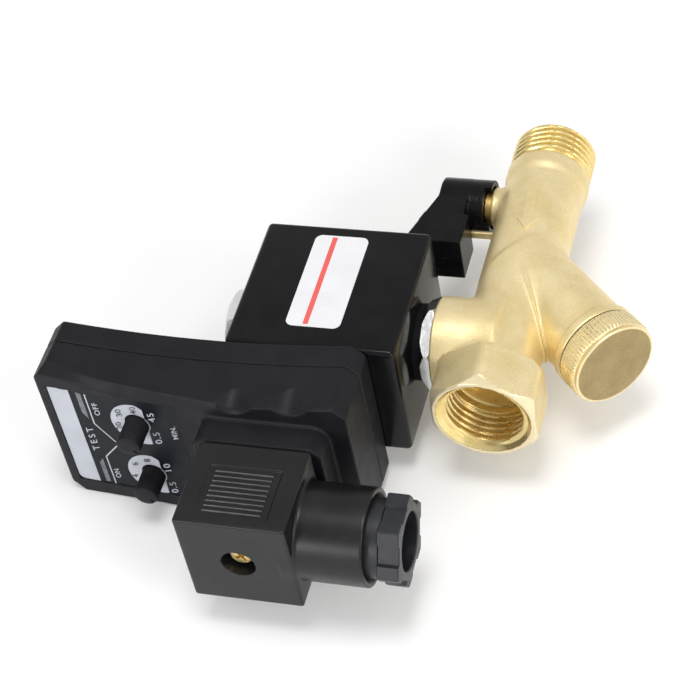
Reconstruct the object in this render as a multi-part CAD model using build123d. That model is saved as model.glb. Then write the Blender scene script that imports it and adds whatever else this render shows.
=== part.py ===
from build123d import *
from math import atan2, cos, radians, sin
import os

# Automatic drain valve: a brass Y body with a ball valve, a strainer and a solenoid valve,
# and on its coil a timer with an appliance connector. Millimetres.
# Origin: centre of the outlet mouth. +Y runs from outlet to inlet, -X towards the coil, +Z up.

# Fits between pieces
running_gap = 0.05
slide_gap = 0.15
seat_gap = 0.02

# Pipe threads, outlet and inlet
pipe_crest = 10.48
pipe_root = 9.32
pipe_pitch = 1.814
pipe_flat = 0.3
pipe_turns = 6

# Valve body, along Y
outlet_flats = 25.0
outlet_hex_length = 12.7
outlet_chamfer = 1.9
outlet_countersink = 11.3
outlet_lead = 1.15
outlet_first_groove = 1.5
outlet_drill_radius = 4.5
outlet_drill_depth = 24.0
tube_radius = 10.0
collar_radius = 10.65
collar_start = 75.4
collar_full = 78.0
thread_start = 81.3
main_bore_radius = 6.0
main_bore_bottom = 46.0

# Solenoid port, towards -X
port_y = 22.5
port_boss_radius = 11.6
port_face = 15.35
port_bore_radius = 9.0
port_ledge = 8.9
port_pit_radius = 7.5
port_floor = 6.5
nozzle_radius = 3.0
nozzle_height = 1.5
orifice_radius = 1.8
supply_radius = 1.5
supply_offset = 5.6
supply_reach = 9.5

# Strainer branch, 45 degrees off the flow axis
branch_y = 48.0
branch_angle = 45.0
branch_radius = 10.5
branch_lip_radius = 11.2
branch_lip_start = 29.7
branch_end = 32.0
branch_bore_radius = 8.6
branch_bore_start = 3.0
cap_gasket_thickness = 0.5
cap_plug_length = 6.0
cap_knurl_radius = 11.3
cap_knurl_length = 5.4
cap_disc_radius = 10.9
cap_disc_length = 1.0
cap_groove_depth = 0.5
cap_groove_width = 0.6
cap_pocket_depth = 1.6
screen_radius = 7.2
screen_wall = 0.5
screen_rim = 1.0

# Ball valve
stem_y = 70.0
chamber_radius = 7.8
chamber_floor = 63.4
ball_radius = 6.5
ball_port_radius = 4.0
ball_slot_width = 1.7
ball_slot_depth = 1.6
seat_thickness = 3.0
retainer_length = 5.0
retainer_hex = 9.0
stem_boss_radius = 5.2
stem_boss_end = 11.8
stem_radius = 2.5
stem_flange_radius = 3.4
stem_flange_end = 7.7
stem_flange_thickness = 1.2
packing_radius = 3.9
packing_start = 8.9
gland_neck = 1.2
gland_ring_radius = 4.4
gland_ring_length = 1.6
stop_lug_y = 61.4
stop_lug_thickness = 1.1
stop_lug_low = -3.0
stop_lug_high = -0.9
stop_lug_end = 16.5
arrow_tail = 66.6
arrow_tip = 54.0
arrow_barb_y = 57.0
arrow_barb = 2.3
arrow_width = 1.8
arrow_height = 0.3

# Handle, turning about X through the stem
hub_radius = 7.0
skirt_start = 11.95
skirt_wall = 1.5
hub_start = 13.6
lever_start = 17.5
lever_back = 25.0
lever_half_width = 6.5
lever_end_y = 50.5
lever_end_front = 16.0
lever_end_back = 30.7
lever_notch_y = 60.7
lever_flare_y = 67.5
stem_square = 3.6
handle_screw_head_radius = 3.2
handle_screw_head = 1.8
handle_screw_radius = 1.2
handle_screw_length = 5.0

# Core tube, plunger and fixed core, along -X at the port
core_hex_flats = 20.0
core_hex_length = 2.75
core_skirt_end = 10.5
core_tube_radius = 6.6
core_tube_setback = 1.6
core_bore_radius = 6.05
plunger_length = 30.0
plunger_stroke = 1.5
plunger_seal_radius = 4.2
plunger_seal_thickness = 2.0
plunger_seal_proud = 0.3
spring_pocket_radius = 3.2
spring_pocket_depth = 9.0
spring_wire = 0.5
spring_turns = 7
stud_radius = 4.0
stud_reach = 5.6
nut_flats = 17.0
nut_length = 6.1

# Coil
coil_washer_thickness = 1.8
coil_washer_radius = 9.4
coil_length = 41.7
coil_half_width = 20.15  # to the side away from the timer
coil_timer_gap = 0.3
coil_half_height = 17.4
coil_edge = 1.4
coil_bore_radius = 6.9
yoke_radius = 15.6
yoke_wall = 1.6
yoke_end_wall = 2.4
yoke_inset = 2.0
bobbin_wall = 0.9
bobbin_flange = 1.2
winding_setback = 1.2
label_start = 14.7
label_width = 13.5
label_y_near = 8.8
label_y_far = 39.0
label_corner = 1.8
label_thickness = 0.15
terminal_thickness = 0.8
terminal_width = 6.3
terminal_spacing = 9.0
earth_side = 1.0
coil_terminal_offset = 3.2
coil_terminal_clearance = 0.35
coil_terminal_reach = 7.0
gasket_half = 13.0
gasket_window_half = 11.0
gasket_thickness = 1.0

# Timer: outline in X and Z, depth towards -Y
timer_left = -104.5
timer_right = -26.2
timer_top = 19.8
timer_bottom = -25.1
timer_corner = 3.0
timer_waist_top = 2.2
timer_waist_bottom = 0.6
timer_rear = 2.05
timer_seam = 4.6
timer_left_front = 13.94
timer_front = 17.83
timer_crease = -57.5
timer_wall = 2.0
bevel_left_depth = 2.5
bevel_left_drop = 1.7
bevel_crease_depth = 0.8
bevel_crease_drop = 3.9
scoop_length = 5.6
scoop_radius = 4.2
scoop_depth = 2.6
scoop_places = (-53.2, -39.2)
boss_radius = 3.2
boss_places = ((-99.6, 14.6), (-99.6, -20.0), (-30.9, 16.0), (-30.9, -20.0))
post_radius = 1.8
post_places = ((-98.0, -2.6), (-66.0, 11.5), (-66.0, -17.0))
screw_radius = 1.25
screw_head_radius = 2.4
screw_head = 1.6
screw_sink = 2.2
screw_end = 12.0
board_level = 9.0
board_thickness = 1.6
board_inset = 1.2

# Label panel on the sloped face
panel_left = -102.0
panel_right = -68.6
panel_top = 13.85
panel_bottom = -20.5
panel_sink = 0.55
foil_thickness = 0.25
nameplate_width = 6.1
dial_x = -80.0
delay_z = 5.3
discharge_z = -13.3
knob_radius = 3.0
knob_top = 22.9
knob_bottom = 14.3
knob_hole_radius = 3.25
knob_notch = 1.8
knob_rest_angle = 47.0
pot_shaft_radius = 1.5
pot_shaft_start = 11.4
pot_shaft_end = 18.0
pot_half = 4.7
pot_height = 2.7
button_left = -95.3
button_edge = -92.1
button_point = -88.3
button_low = -10.3
button_high = 2.6
button_point_z = -3.75
button_flange = 0.7
button_flange_thickness = 0.7
switch_half = 2.6
switch_height = 0.7
lamp_x = -93.6
window_width = 1.3
off_window_low = 5.5
off_window_high = 13.4
on_window_low = -20.2
on_window_high = -11.6
lamp_radius = 1.2
lamp_height = 1.6
relay_x = -85.0
relay_length = 19.0
relay_width = 10.0
relay_height = 7.6
capacitor_x = -62.0
capacitor_z = -2.5
capacitor_radius = 4.0
capacitor_height = 7.0
socket_length = 7.9
socket_thickness = 3.2
socket_proud = 0.8
socket_gap = 0.04

# Pedestal and connector
connector_x = -46.02
pedestal_half_width = 15.6
pedestal_half_height = 13.2
pedestal_front = 24.9
pedestal_corner = 3.6
pedestal_wall = 2.0
connector_gasket_thickness = 0.57
connector_half_width = 13.2
connector_half_height = 13.9
connector_front = 48.6
connector_wall = 1.8
connector_edge = 0.7
insert_front = 38.0
connector_terminal_length = 8.5
timer_blade_tip = 33.0
clip_width = 7.6
clip_thickness = 3.0
recess_radius = 4.0
recess_floor = 42.5
recess_boss_radius = 5.4
fixing_head_radius = 3.5
fixing_head = 2.0
fixing_radius = 1.5
fixing_slot = 0.8
fixing_start = 15.0
rib_panel_half_width = 9.0
rib_panel_near = 32.0
rib_panel_far = 46.5
rib_panel_sink = 0.6
rib_count = 10
rib_half_span = 6.7
rib_width = 0.55
rib_near = 33.0
rib_far = 45.3

# Cable barrel and gland, towards +X
barrel_inset = 11.53
barrel_radius = 11.4
barrel_end = -16.84
barrel_bore_radius = 9.25
barrel_mouth_radius = 10.3
barrel_mouth_depth = 1.2
barrel_inner_radius = 7.5
grommet_length = 3.5
grommet_bore_radius = 6.0
gland_washer_thickness = 0.5
nut_shank_radius = 9.2
nut_tooth_start = -13.9
nut_tooth_end = -8.8
nut_tooth_radius = 11.2
nut_root_radius = 10.2
nut_tooth_angle = 34.0
nut_tooth_count = 6
cable_radius = 6.86

# Worked out from the values above
inlet_y = thread_start + pipe_turns * pipe_pitch
core_hex_end = port_face + core_hex_length
coil_start = core_hex_end + coil_washer_thickness
coil_end = coil_start + coil_length
coil_face_y = timer_rear + coil_timer_gap
core_tube_end = coil_end - core_tube_setback
stud_end = coil_end + stud_reach
winding_radius = yoke_radius - yoke_wall - winding_setback
coil_terminal_root = port_y - coil_face_y - yoke_radius - coil_terminal_clearance
coil_socket_x = -(coil_start + coil_end) / 2 - coil_terminal_offset
earth_z = earth_side - terminal_spacing
gasket_sink = gasket_thickness - coil_timer_gap
seat_level = port_floor + nozzle_height
plunger_start = seat_level + plunger_seal_proud
plunger_end = plunger_start + plunger_length
fixed_core_face = plunger_end + plunger_stroke
cap_head_start = branch_end + cap_gasket_thickness
cap_end = cap_head_start + cap_knurl_length + cap_disc_length
board_front = board_level + board_thickness
connector_face = pedestal_front + connector_gasket_thickness
barrel_depth = connector_face + barrel_inset
connector_left = connector_x - connector_half_width
connector_right = connector_x + connector_half_width
grommet_start = connector_right - connector_wall + 0.6
nut_shank_start = grommet_start + grommet_length + gland_washer_thickness

# Axes: each plane's own Z runs along the piece
flow_axis = Plane(origin=(0, 0, 0), x_dir=(1, 0, 0), z_dir=(0, 1, 0))
port_axis = Plane(origin=(0, port_y, 0), x_dir=(0, 0, 1), z_dir=(-1, 0, 0))
stem_axis = Plane(origin=(0, stem_y, 0), x_dir=(0, 0, 1), z_dir=(-1, 0, 0))
branch_direction = (sin(radians(branch_angle)), -cos(radians(branch_angle)), 0)
branch_axis = Plane(origin=(0, branch_y, 0), x_dir=(0, 0, 1), z_dir=branch_direction)
front_axis = Plane(origin=(0, 0, 0), x_dir=(1, 0, 0), z_dir=(0, -1, 0))
barrel_axis = Plane(origin=(0, -barrel_depth, 0), x_dir=(0, 1, 0), z_dir=(1, 0, 0))


def rod(axis, radius, start, end):
    """Cylinder along an axis plane, from start to end."""
    base = (Align.CENTER, Align.CENTER, Align.MIN)
    return axis.offset(start) * Cylinder(radius, end - start, align=base)


def tube(axis, outer, inner, start, end):
    """Hollow cylinder along an axis plane."""
    return rod(axis, outer, start, end) - rod(axis, inner, start - 1, end + 1)


def cone(axis, start_radius, end_radius, start, end):
    """Truncated cone along an axis plane."""
    base = (Align.CENTER, Align.CENTER, Align.MIN)
    return axis.offset(start) * Cone(start_radius, end_radius, end - start, align=base)


def hexagon(axis, flats, start, end, turn=30):
    """Hexagonal prism with the stated distance across flats."""
    outline = Rot(0, 0, turn) * RegularPolygon(flats / 2, 6, major_radius=False)
    return axis.offset(start) * extrude(outline, end - start)


def block(x_range, y_range, z_range):
    """Box between pairs of coordinates."""
    size = [abs(pair[1] - pair[0]) for pair in (x_range, y_range, z_range)]
    corner = [min(pair) for pair in (x_range, y_range, z_range)]
    return Pos(*corner) * Box(*size, align=(Align.MIN, Align.MIN, Align.MIN))


def front_block(x_center, half_width, z_center, half_height, start, end):
    """Box facing the timer's front, between two depths."""
    x_range = (x_center - half_width, x_center + half_width)
    return block(x_range, (-start, -end), (z_center - half_height, z_center + half_height))


def plate(outline, start, end):
    """Outline in X and Z, extruded between two depths towards the timer's front."""
    return front_axis.offset(start) * extrude(outline, end - start)


def rounded_rectangle(x_center, half_width, z_center, half_height, corner):
    """Rounded outline in X and Z."""
    return Pos(x_center, z_center) * RectangleRounded(2 * half_width, 2 * half_height, corner)


def groove_ring(bottom, wall, level, beyond):
    """One turn of a thread as a ring groove about the flow axis."""
    wide = (pipe_pitch - pipe_flat) / 2
    narrow = pipe_flat / 2
    outline = Polygon(
        (bottom, level - narrow),
        (bottom, level + narrow),
        (wall, level + wide),
        (beyond, level + wide),
        (beyond, level - wide),
        (wall, level - wide),
        align=None,
    )
    return revolve(outline, Axis.Y)


# Valve body

def outlet_hexagon():
    prism = hexagon(flow_axis, outlet_flats, 0, outlet_hex_length)
    inscribed = outlet_flats / 2 - 0.2
    corner = inscribed + outlet_chamfer
    limit = Polygon(
        (0, 0),
        (inscribed, 0),
        (corner, outlet_chamfer),
        (corner + 0.5, outlet_chamfer + 0.5),
        (corner + 0.5, outlet_hex_length - outlet_chamfer / 2),
        (inscribed, outlet_hex_length),
        (0, outlet_hex_length),
        align=None,
    )
    return prism & revolve(limit, Axis.Y)


def flow_arrow():
    half = arrow_width / 2
    outline = Polygon(
        (-half, arrow_tail),
        (half, arrow_tail),
        (half, arrow_barb_y),
        (arrow_barb, arrow_barb_y),
        (0, arrow_tip),
        (-arrow_barb, arrow_barb_y),
        (-half, arrow_barb_y),
        align=None,
    )
    return extrude(outline, tube_radius + arrow_height, dir=(0, 0, 1))


def body_outside():
    shape = outlet_hexagon()
    shape += rod(flow_axis, tube_radius, outlet_hex_length - 2, thread_start)
    shape += cone(flow_axis, tube_radius, collar_radius, collar_start, collar_full)
    shape += rod(flow_axis, collar_radius, collar_full, thread_start)
    shape += rod(flow_axis, pipe_crest, thread_start, inlet_y)
    shape += rod(port_axis, port_boss_radius, 0, port_face)
    shape += rod(branch_axis, branch_radius, 0, branch_end)
    shape += rod(branch_axis, branch_lip_radius, branch_lip_start, branch_end)
    shape += rod(stem_axis, stem_boss_radius, 0, stem_boss_end)
    lug_y = (stop_lug_y, stop_lug_y + stop_lug_thickness)
    shape += block((-stop_lug_end, -tube_radius + 1.5), lug_y, (stop_lug_low, stop_lug_high))
    return shape + flow_arrow()


def body_bores():
    thread_end = outlet_first_groove + pipe_turns * pipe_pitch
    bores = rod(flow_axis, pipe_root, -1, thread_end)
    bores += rod(flow_axis, outlet_drill_radius, 0, outlet_drill_depth)
    flare = 2 * outlet_countersink - pipe_root
    bores += cone(flow_axis, flare, pipe_root, -outlet_lead, outlet_lead)
    bores += rod(flow_axis, main_bore_radius, main_bore_bottom, inlet_y)
    bores += rod(flow_axis, chamber_radius, chamber_floor, inlet_y + 1)
    bores += rod(port_axis, port_bore_radius, port_ledge, port_face + 1)
    bores += tube(port_axis, port_pit_radius, nozzle_radius, port_floor, port_ledge)
    bores += rod(port_axis, nozzle_radius + 0.1, seat_level, port_ledge)
    bores += rod(port_axis, orifice_radius, 0, seat_level + 1)
    supply_axis = Plane(origin=(0, port_y + supply_offset, 0), x_dir=(0, 0, 1), z_dir=(-1, 0, 0))
    bores += rod(supply_axis, supply_radius, -supply_reach, port_floor + 0.5)
    bores += rod(branch_axis, branch_bore_radius, branch_bore_start, branch_end + 1)
    bores += rod(stem_axis, stem_flange_radius + running_gap, 0, stem_flange_end)
    bores += rod(stem_axis, stem_radius + running_gap, 0, stem_boss_end + 1)
    bores += rod(stem_axis, packing_radius + seat_gap, packing_start, stem_boss_end + 1)
    return bores


def make_valve_body():
    shape = body_outside() - body_bores()
    outlet_start = outlet_first_groove - pipe_flat / 2
    for turn in range(pipe_turns):
        level = (turn + 0.5) * pipe_pitch
        shape -= groove_ring(pipe_root, pipe_crest, thread_start + level, pipe_crest + 0.5)
        shape -= groove_ring(pipe_crest, pipe_root, outlet_start + level, pipe_root - 0.5)
    return shape


# Ball valve

def make_ball():
    shape = Pos(0, stem_y, 0) * Sphere(ball_radius)
    shape -= rod(flow_axis, ball_port_radius, stem_y - ball_radius, stem_y + ball_radius)
    slot_start = ball_radius - ball_slot_depth
    slot = block(
        (-ball_radius - 1, -slot_start),
        (stem_y - ball_radius, stem_y + ball_radius),
        (-ball_slot_width / 2, ball_slot_width / 2),
    )
    return shape - slot


def make_ball_seat(side):
    far = stem_y + side * (ball_radius + 0.1)
    near = far - side * seat_thickness
    low, high = sorted((near, far))
    shape = tube(flow_axis, chamber_radius - seat_gap, ball_port_radius, low, high)
    return shape - Pos(0, stem_y, 0) * Sphere(ball_radius + running_gap)


def make_seat_retainer():
    start = stem_y + ball_radius + 0.1
    shape = rod(flow_axis, chamber_radius - seat_gap, start, start + retainer_length)
    shape -= rod(flow_axis, ball_port_radius, start - 1, start + retainer_length)
    return shape - hexagon(flow_axis, retainer_hex, start + 1.5, start + retainer_length + 1)


def make_ball_stem():
    flange_start = stem_flange_end - stem_flange_thickness
    tang = block(
        (-ball_radius + ball_slot_depth - 0.1, -flange_start),
        (stem_y - stem_radius, stem_y + stem_radius),
        (-ball_slot_width / 2 + running_gap, ball_slot_width / 2 - running_gap),
    )
    shape = rod(stem_axis, stem_flange_radius, flange_start, stem_flange_end - seat_gap)
    shape += rod(stem_axis, stem_radius, flange_start, hub_start)
    half = stem_square / 2
    square = block((-hub_start, -lever_back + 3), (stem_y - half, stem_y + half), (-half, half))
    shape += square
    shape += tang
    screw_start = lever_back - handle_screw_head - handle_screw_length
    return shape - rod(stem_axis, handle_screw_radius + seat_gap, screw_start, lever_back)


def make_stem_packing():
    inner = stem_radius + running_gap
    end = stem_boss_end - gland_neck
    return tube(stem_axis, packing_radius, inner, packing_start, end)


def make_stem_gland():
    inner = stem_radius + running_gap
    end = stem_boss_end + gland_ring_length
    shape = rod(stem_axis, packing_radius, stem_boss_end - gland_neck, stem_boss_end)
    shape += rod(stem_axis, gland_ring_radius, stem_boss_end, end)
    return shape - rod(stem_axis, inner, 0, end + 1)


def lever_outline():
    return Polygon(
        (-lever_start, stem_y + hub_radius),
        (-lever_back, stem_y + hub_radius),
        (-lever_back, lever_flare_y),
        (-lever_end_back, lever_end_y),
        (-lever_end_front, lever_end_y),
        (-lever_end_front, lever_notch_y),
        (-lever_start, lever_notch_y),
        align=None,
    )


def make_handle():
    hub = rod(stem_axis, hub_radius, hub_start, lever_back)
    side = block(
        (-lever_end_back, -hub_start),
        (lever_end_y, stem_y),
        (-lever_half_width, lever_half_width),
    )
    side_corners = side.edges().filter_by(Axis.X).group_by(Axis.Y)[0]
    side = fillet(side_corners, 1.5)
    tall = Pos(0, 0, -hub_radius) * extrude(lever_outline(), 2 * hub_radius)
    lever = tall & (side + rod(stem_axis, hub_radius, hub_start, lever_end_back))
    shape = lever + hub
    skirt = tube(stem_axis, hub_radius, hub_radius - skirt_wall, skirt_start, hub_start)
    open_corner = block(
        (-hub_start - 0.1, -skirt_start + 0.1),
        (stem_y - hub_radius, stem_y),
        (0, hub_radius),
    )
    shape += skirt - open_corner
    half = stem_square / 2 + seat_gap
    shape -= block((-hub_start + 1, -lever_back + 3), (stem_y - half, stem_y + half), (-half, half))
    shape -= rod(stem_axis, handle_screw_radius + 0.1, lever_start, lever_back + 1)
    head_start = lever_back - handle_screw_head
    return shape - rod(stem_axis, handle_screw_head_radius + 0.2, head_start, lever_end_back)


def make_handle_screw():
    head_start = lever_back - handle_screw_head
    shape = rod(stem_axis, handle_screw_head_radius, head_start, lever_back)
    shape += rod(stem_axis, handle_screw_radius, head_start - handle_screw_length, head_start)
    slot = block((-lever_back - 1, -lever_back + 0.9), (stem_y - 0.4, stem_y + 0.4), (-4, 4))
    return shape - slot


# Strainer

def make_strainer_screen():
    start = branch_bore_start + 0.3
    end = cap_head_start + cap_pocket_depth
    shape = tube(branch_axis, screen_radius, screen_radius - screen_wall, start, end)
    foot_radius = screen_radius + screen_rim
    return shape + tube(branch_axis, foot_radius, screen_radius - 0.1, start, start + 1)


def make_cap_gasket():
    outer = branch_lip_radius - 0.2
    return tube(branch_axis, outer, branch_bore_radius, branch_end, cap_head_start)


def make_strainer_cap():
    plug_start = branch_end - cap_plug_length
    knurl_end = cap_head_start + cap_knurl_length
    shape = rod(branch_axis, branch_bore_radius - running_gap, plug_start, cap_head_start)
    shape += rod(branch_axis, cap_knurl_radius, cap_head_start, knurl_end)
    shape += rod(branch_axis, cap_disc_radius, knurl_end, cap_end)
    groove_start = knurl_end - cap_groove_width
    groove_inner = cap_disc_radius - cap_groove_depth
    shape -= tube(branch_axis, cap_knurl_radius + 1, groove_inner, groove_start, knurl_end)
    pocket_end = cap_head_start + cap_pocket_depth
    return shape - rod(branch_axis, screen_radius + running_gap, plug_start - 1, pocket_end)


# Core tube and plunger

def make_core_tube():
    shape = hexagon(port_axis, core_hex_flats, port_face, core_hex_end, turn=0)
    corner = core_hex_flats / 2 * 1.08
    shape &= cone(port_axis, corner + core_hex_length, corner, port_face, core_hex_end)
    shape += rod(port_axis, port_bore_radius - seat_gap, core_skirt_end, port_face)
    shape += rod(port_axis, core_tube_radius, core_hex_end, core_tube_end)
    return shape - rod(port_axis, core_bore_radius, 0, core_tube_end + 1)


def make_tube_o_ring():
    section = (core_skirt_end - port_ledge) / 2 - seat_gap
    center = (core_skirt_end + port_ledge) / 2
    ring_radius = port_bore_radius - section - seat_gap
    return port_axis.offset(center) * Torus(ring_radius, section)


def make_fixed_core():
    shape = rod(port_axis, core_bore_radius - running_gap, fixed_core_face, core_tube_end)
    return shape + rod(port_axis, stud_radius, core_tube_end, stud_end)


def make_plunger():
    shape = rod(port_axis, core_bore_radius - running_gap, plunger_start, plunger_end)
    seal_end = seat_level + plunger_seal_thickness
    shape -= rod(port_axis, plunger_seal_radius + seat_gap, 0, seal_end)
    pocket_start = plunger_end - spring_pocket_depth
    return shape - rod(port_axis, spring_pocket_radius, pocket_start, plunger_end + 1)


def make_plunger_seal():
    end = seat_level + plunger_seal_thickness
    return rod(port_axis, plunger_seal_radius, seat_level + seat_gap, end)


def make_plunger_spring():
    length = spring_pocket_depth + plunger_stroke
    coil_radius = spring_pocket_radius - spring_wire / 2 - 0.15
    height = length - spring_wire - 0.1
    path = Helix(height / spring_turns, height, coil_radius)
    section = Plane(origin=path @ 0, z_dir=path % 0) * Circle(spring_wire / 2)
    start = plunger_end - spring_pocket_depth + spring_wire / 2 + 0.05
    return port_axis.offset(start) * sweep(section, path, is_frenet=True)


# Coil

def make_coil_case():
    shape = block(
        (-coil_end, -coil_start),
        (coil_face_y, port_y + coil_half_width),
        (-coil_half_height, coil_half_height),
    )
    shape = fillet(shape.edges(), coil_edge)
    shape -= rod(port_axis, yoke_radius, coil_start + yoke_inset, coil_end - yoke_inset)
    shape -= rod(port_axis, coil_bore_radius, coil_start - 1, coil_end + 1)
    return shape - coil_blades(-coil_face_y - coil_terminal_root)


def blade_set(x_center, width, thickness, start, end):
    """Three upright blocks in the pattern of a pair of poles and an earth."""
    half = width / 2
    thin = thickness / 2
    shape = front_block(x_center, half, earth_z, thin, start, end)
    for side in (-1, 1):
        x = x_center + side * terminal_spacing
        shape += front_block(x, thin, 0, half, start, end)
    return shape


def coil_blades(start, clearance=0.0):
    """The coil's blades, from a depth under its rear face."""
    width = terminal_width + 2 * clearance
    thickness = terminal_thickness + 2 * clearance
    end = coil_terminal_reach - coil_face_y + clearance
    return blade_set(coil_socket_x, width, thickness, start, end)


def make_coil_yoke():
    start = coil_start + yoke_inset
    end = coil_end - yoke_inset
    shape = rod(port_axis, yoke_radius, start, end)
    inner = yoke_radius - yoke_wall
    shape -= rod(port_axis, inner, start + yoke_end_wall, end - yoke_end_wall)
    return shape - rod(port_axis, coil_bore_radius, start - 1, end + 1)


def make_coil_bobbin():
    start = coil_start + yoke_inset + yoke_end_wall
    end = coil_end - yoke_inset - yoke_end_wall
    outer = yoke_radius - yoke_wall - seat_gap
    barrel = coil_bore_radius + bobbin_wall
    shape = rod(port_axis, barrel, start, end)
    shape += rod(port_axis, outer, start, start + bobbin_flange)
    shape += rod(port_axis, outer, end - bobbin_flange, end)
    return shape - rod(port_axis, coil_bore_radius, start - 1, end + 1)


def make_coil_winding():
    edge = yoke_inset + yoke_end_wall + bobbin_flange
    inner = coil_bore_radius + bobbin_wall
    return tube(port_axis, winding_radius, inner, coil_start + edge, coil_end - edge)


def make_coil_terminals():
    return coil_blades(-coil_face_y - coil_terminal_root)


def make_coil_washer():
    return tube(port_axis, coil_washer_radius, coil_bore_radius, core_hex_end, coil_start)


def make_coil_nut():
    end = coil_end + nut_length
    shape = hexagon(port_axis, nut_flats, coil_end, end)
    shape &= cone(port_axis, nut_flats / 2 * 1.4, nut_flats / 2, coil_end, end)
    return shape - rod(port_axis, stud_radius + running_gap, coil_end - 1, end + 1)


def make_coil_label():
    x_center = -coil_start - label_start - label_width / 2
    y_center = (label_y_near + label_y_far) / 2
    size = (label_width, label_y_far - label_y_near)
    outline = Pos(x_center, y_center) * RectangleRounded(*size, label_corner)
    return Pos(0, 0, coil_half_height) * extrude(outline, label_thickness)


# Timer housing

def timer_outline():
    left = timer_left + timer_corner
    right = timer_right - timer_corner
    middle = (left + right) / 2
    top_corner = timer_top - timer_corner
    bottom_corner = timer_bottom + timer_corner
    edges = [
        ThreePointArc((left, timer_top), (middle, timer_top - timer_waist_top), (right, timer_top)),
        Line((right, timer_top), (timer_right, top_corner)),
        Line((timer_right, top_corner), (timer_right, bottom_corner)),
        Line((timer_right, bottom_corner), (right, timer_bottom)),
        ThreePointArc(
            (right, timer_bottom),
            (middle, timer_bottom + timer_waist_bottom),
            (left, timer_bottom),
        ),
        Line((left, timer_bottom), (timer_left, bottom_corner)),
        Line((timer_left, bottom_corner), (timer_left, top_corner)),
        Line((timer_left, top_corner), (left, timer_top)),
    ]
    return make_face(edges)


def sloped_depth(x):
    """Depth of the timer's sloped face at a given X."""
    share = (x - timer_left) / (timer_crease - timer_left)
    return timer_left_front + share * (timer_front - timer_left_front)


def slope_layer(outline, outer, inner):
    """Outline in X and Z between two depths under the sloped face."""
    x0 = timer_left - 5
    x1 = timer_crease
    strip = Polygon(
        (x0, outer - sloped_depth(x0)),
        (x1, outer - sloped_depth(x1)),
        (x1, inner - sloped_depth(x1)),
        (x0, inner - sloped_depth(x0)),
        align=None,
    )
    tall = Pos(0, 0, 2 * timer_bottom) * extrude(strip, 4 * abs(timer_bottom))
    return plate(outline, 0, timer_front + 5) & tall


def timer_shape(inset, start):
    """The timer's outside, or the space inside it when inset by the wall."""
    outline = timer_outline()
    if inset > 0:
        outline = offset(outline, -inset, kind=Kind.INTERSECTION)
    shape = plate(outline, start, timer_front - inset)
    x0 = timer_left - 5
    ahead = Polygon(
        (x0, inset - sloped_depth(x0)),
        (timer_crease, inset - timer_front),
        (timer_crease, -pedestal_front),
        (x0, -pedestal_front),
        align=None,
    )
    return shape - Pos(0, 0, 2 * timer_bottom) * extrude(ahead, 4 * abs(timer_bottom), dir=(0, 0, 1))


def bevel_section(x, top, front, depth, drop):
    """Triangle taken off the front top edge at one place along X."""
    grow = 2.0
    plane = Plane(origin=(x, 0, 0), x_dir=(0, 1, 0), z_dir=(1, 0, 0))
    slope = drop / depth
    return plane * Polygon(
        (-front + depth + grow, top + grow * slope),
        (-front - grow, top - drop - grow * slope),
        (-front - grow, top + grow * slope),
        align=None,
    )


def top_bevel():
    crease_top = timer_top - timer_waist_top
    left = bevel_section(timer_left, timer_top, timer_left_front, bevel_left_depth, bevel_left_drop)
    crease = bevel_section(
        timer_crease, crease_top, timer_front, bevel_crease_depth, bevel_crease_drop
    )
    return loft([left, crease], ruled=True)


def top_level(x):
    """Height of the timer's waisted top, close to its arc."""
    left = timer_left + timer_corner
    right = timer_right - timer_corner
    share = (2 * x - left - right) / (right - left)
    return timer_top - timer_waist_top * (1 - share**2)


def scoops():
    """Finger scoops: round cuts that sink towards the front edge."""
    tilt = atan2(scoop_depth, scoop_length)
    direction = (0, -cos(tilt), -sin(tilt))
    shape = None
    for x in scoop_places:
        origin = (x, scoop_length - timer_front, top_level(x) + scoop_radius / cos(tilt))
        axis = Plane(origin=origin, x_dir=(1, 0, 0), z_dir=direction)
        dimple = rod(axis, scoop_radius, -scoop_length, 3 * scoop_length)
        shape = dimple if shape is None else shape + dimple
    return shape


def screw_holes(start, end, radius):
    shape = None
    for x, z in boss_places:
        hole = rod(front_axis, radius, start, end).moved(Location((x, 0, z)))
        shape = hole if shape is None else shape + hole
    return shape


def make_timer_rear_housing():
    shape = plate(timer_outline(), -timer_rear, timer_seam)
    inside = offset(timer_outline(), -timer_wall, kind=Kind.INTERSECTION)
    shape -= plate(inside, timer_wall - timer_rear, timer_seam + 1)
    shape += screw_holes(timer_wall - timer_rear, timer_seam, boss_radius)
    for x, z in post_places:
        post = rod(front_axis, post_radius, timer_wall - timer_rear, board_level)
        shape += post.moved(Location((x, 0, z)))
    shape -= screw_holes(-timer_rear - 1, timer_seam + 1, screw_radius + 0.15)
    shape -= screw_holes(-timer_rear - 1, screw_sink - timer_rear, screw_head_radius + 0.15)
    recess_half = gasket_half + 0.2
    start = -timer_rear - 1
    floor = gasket_sink - timer_rear
    shape -= front_block(coil_socket_x, recess_half, 0, recess_half, start, floor)
    window = gasket_window_half
    return shape - front_block(coil_socket_x, window, 0, window, start, timer_wall)


def button_outline(clearance=0.0):
    outline = Polygon(
        (button_left, button_low),
        (button_edge, button_low),
        (button_edge, button_point_z - 5.0),
        (button_point, button_point_z),
        (button_edge, button_point_z + 5.0),
        (button_edge, button_high),
        (button_left, button_high),
        align=None,
    )
    if clearance > 0:
        outline = offset(outline, clearance, kind=Kind.INTERSECTION)
    return outline


def window_outline(low, high, clearance=0.0):
    size = (window_width + 2 * clearance, high - low + 2 * clearance)
    return Pos(lamp_x, (low + high) / 2) * Rectangle(*size)


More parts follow.
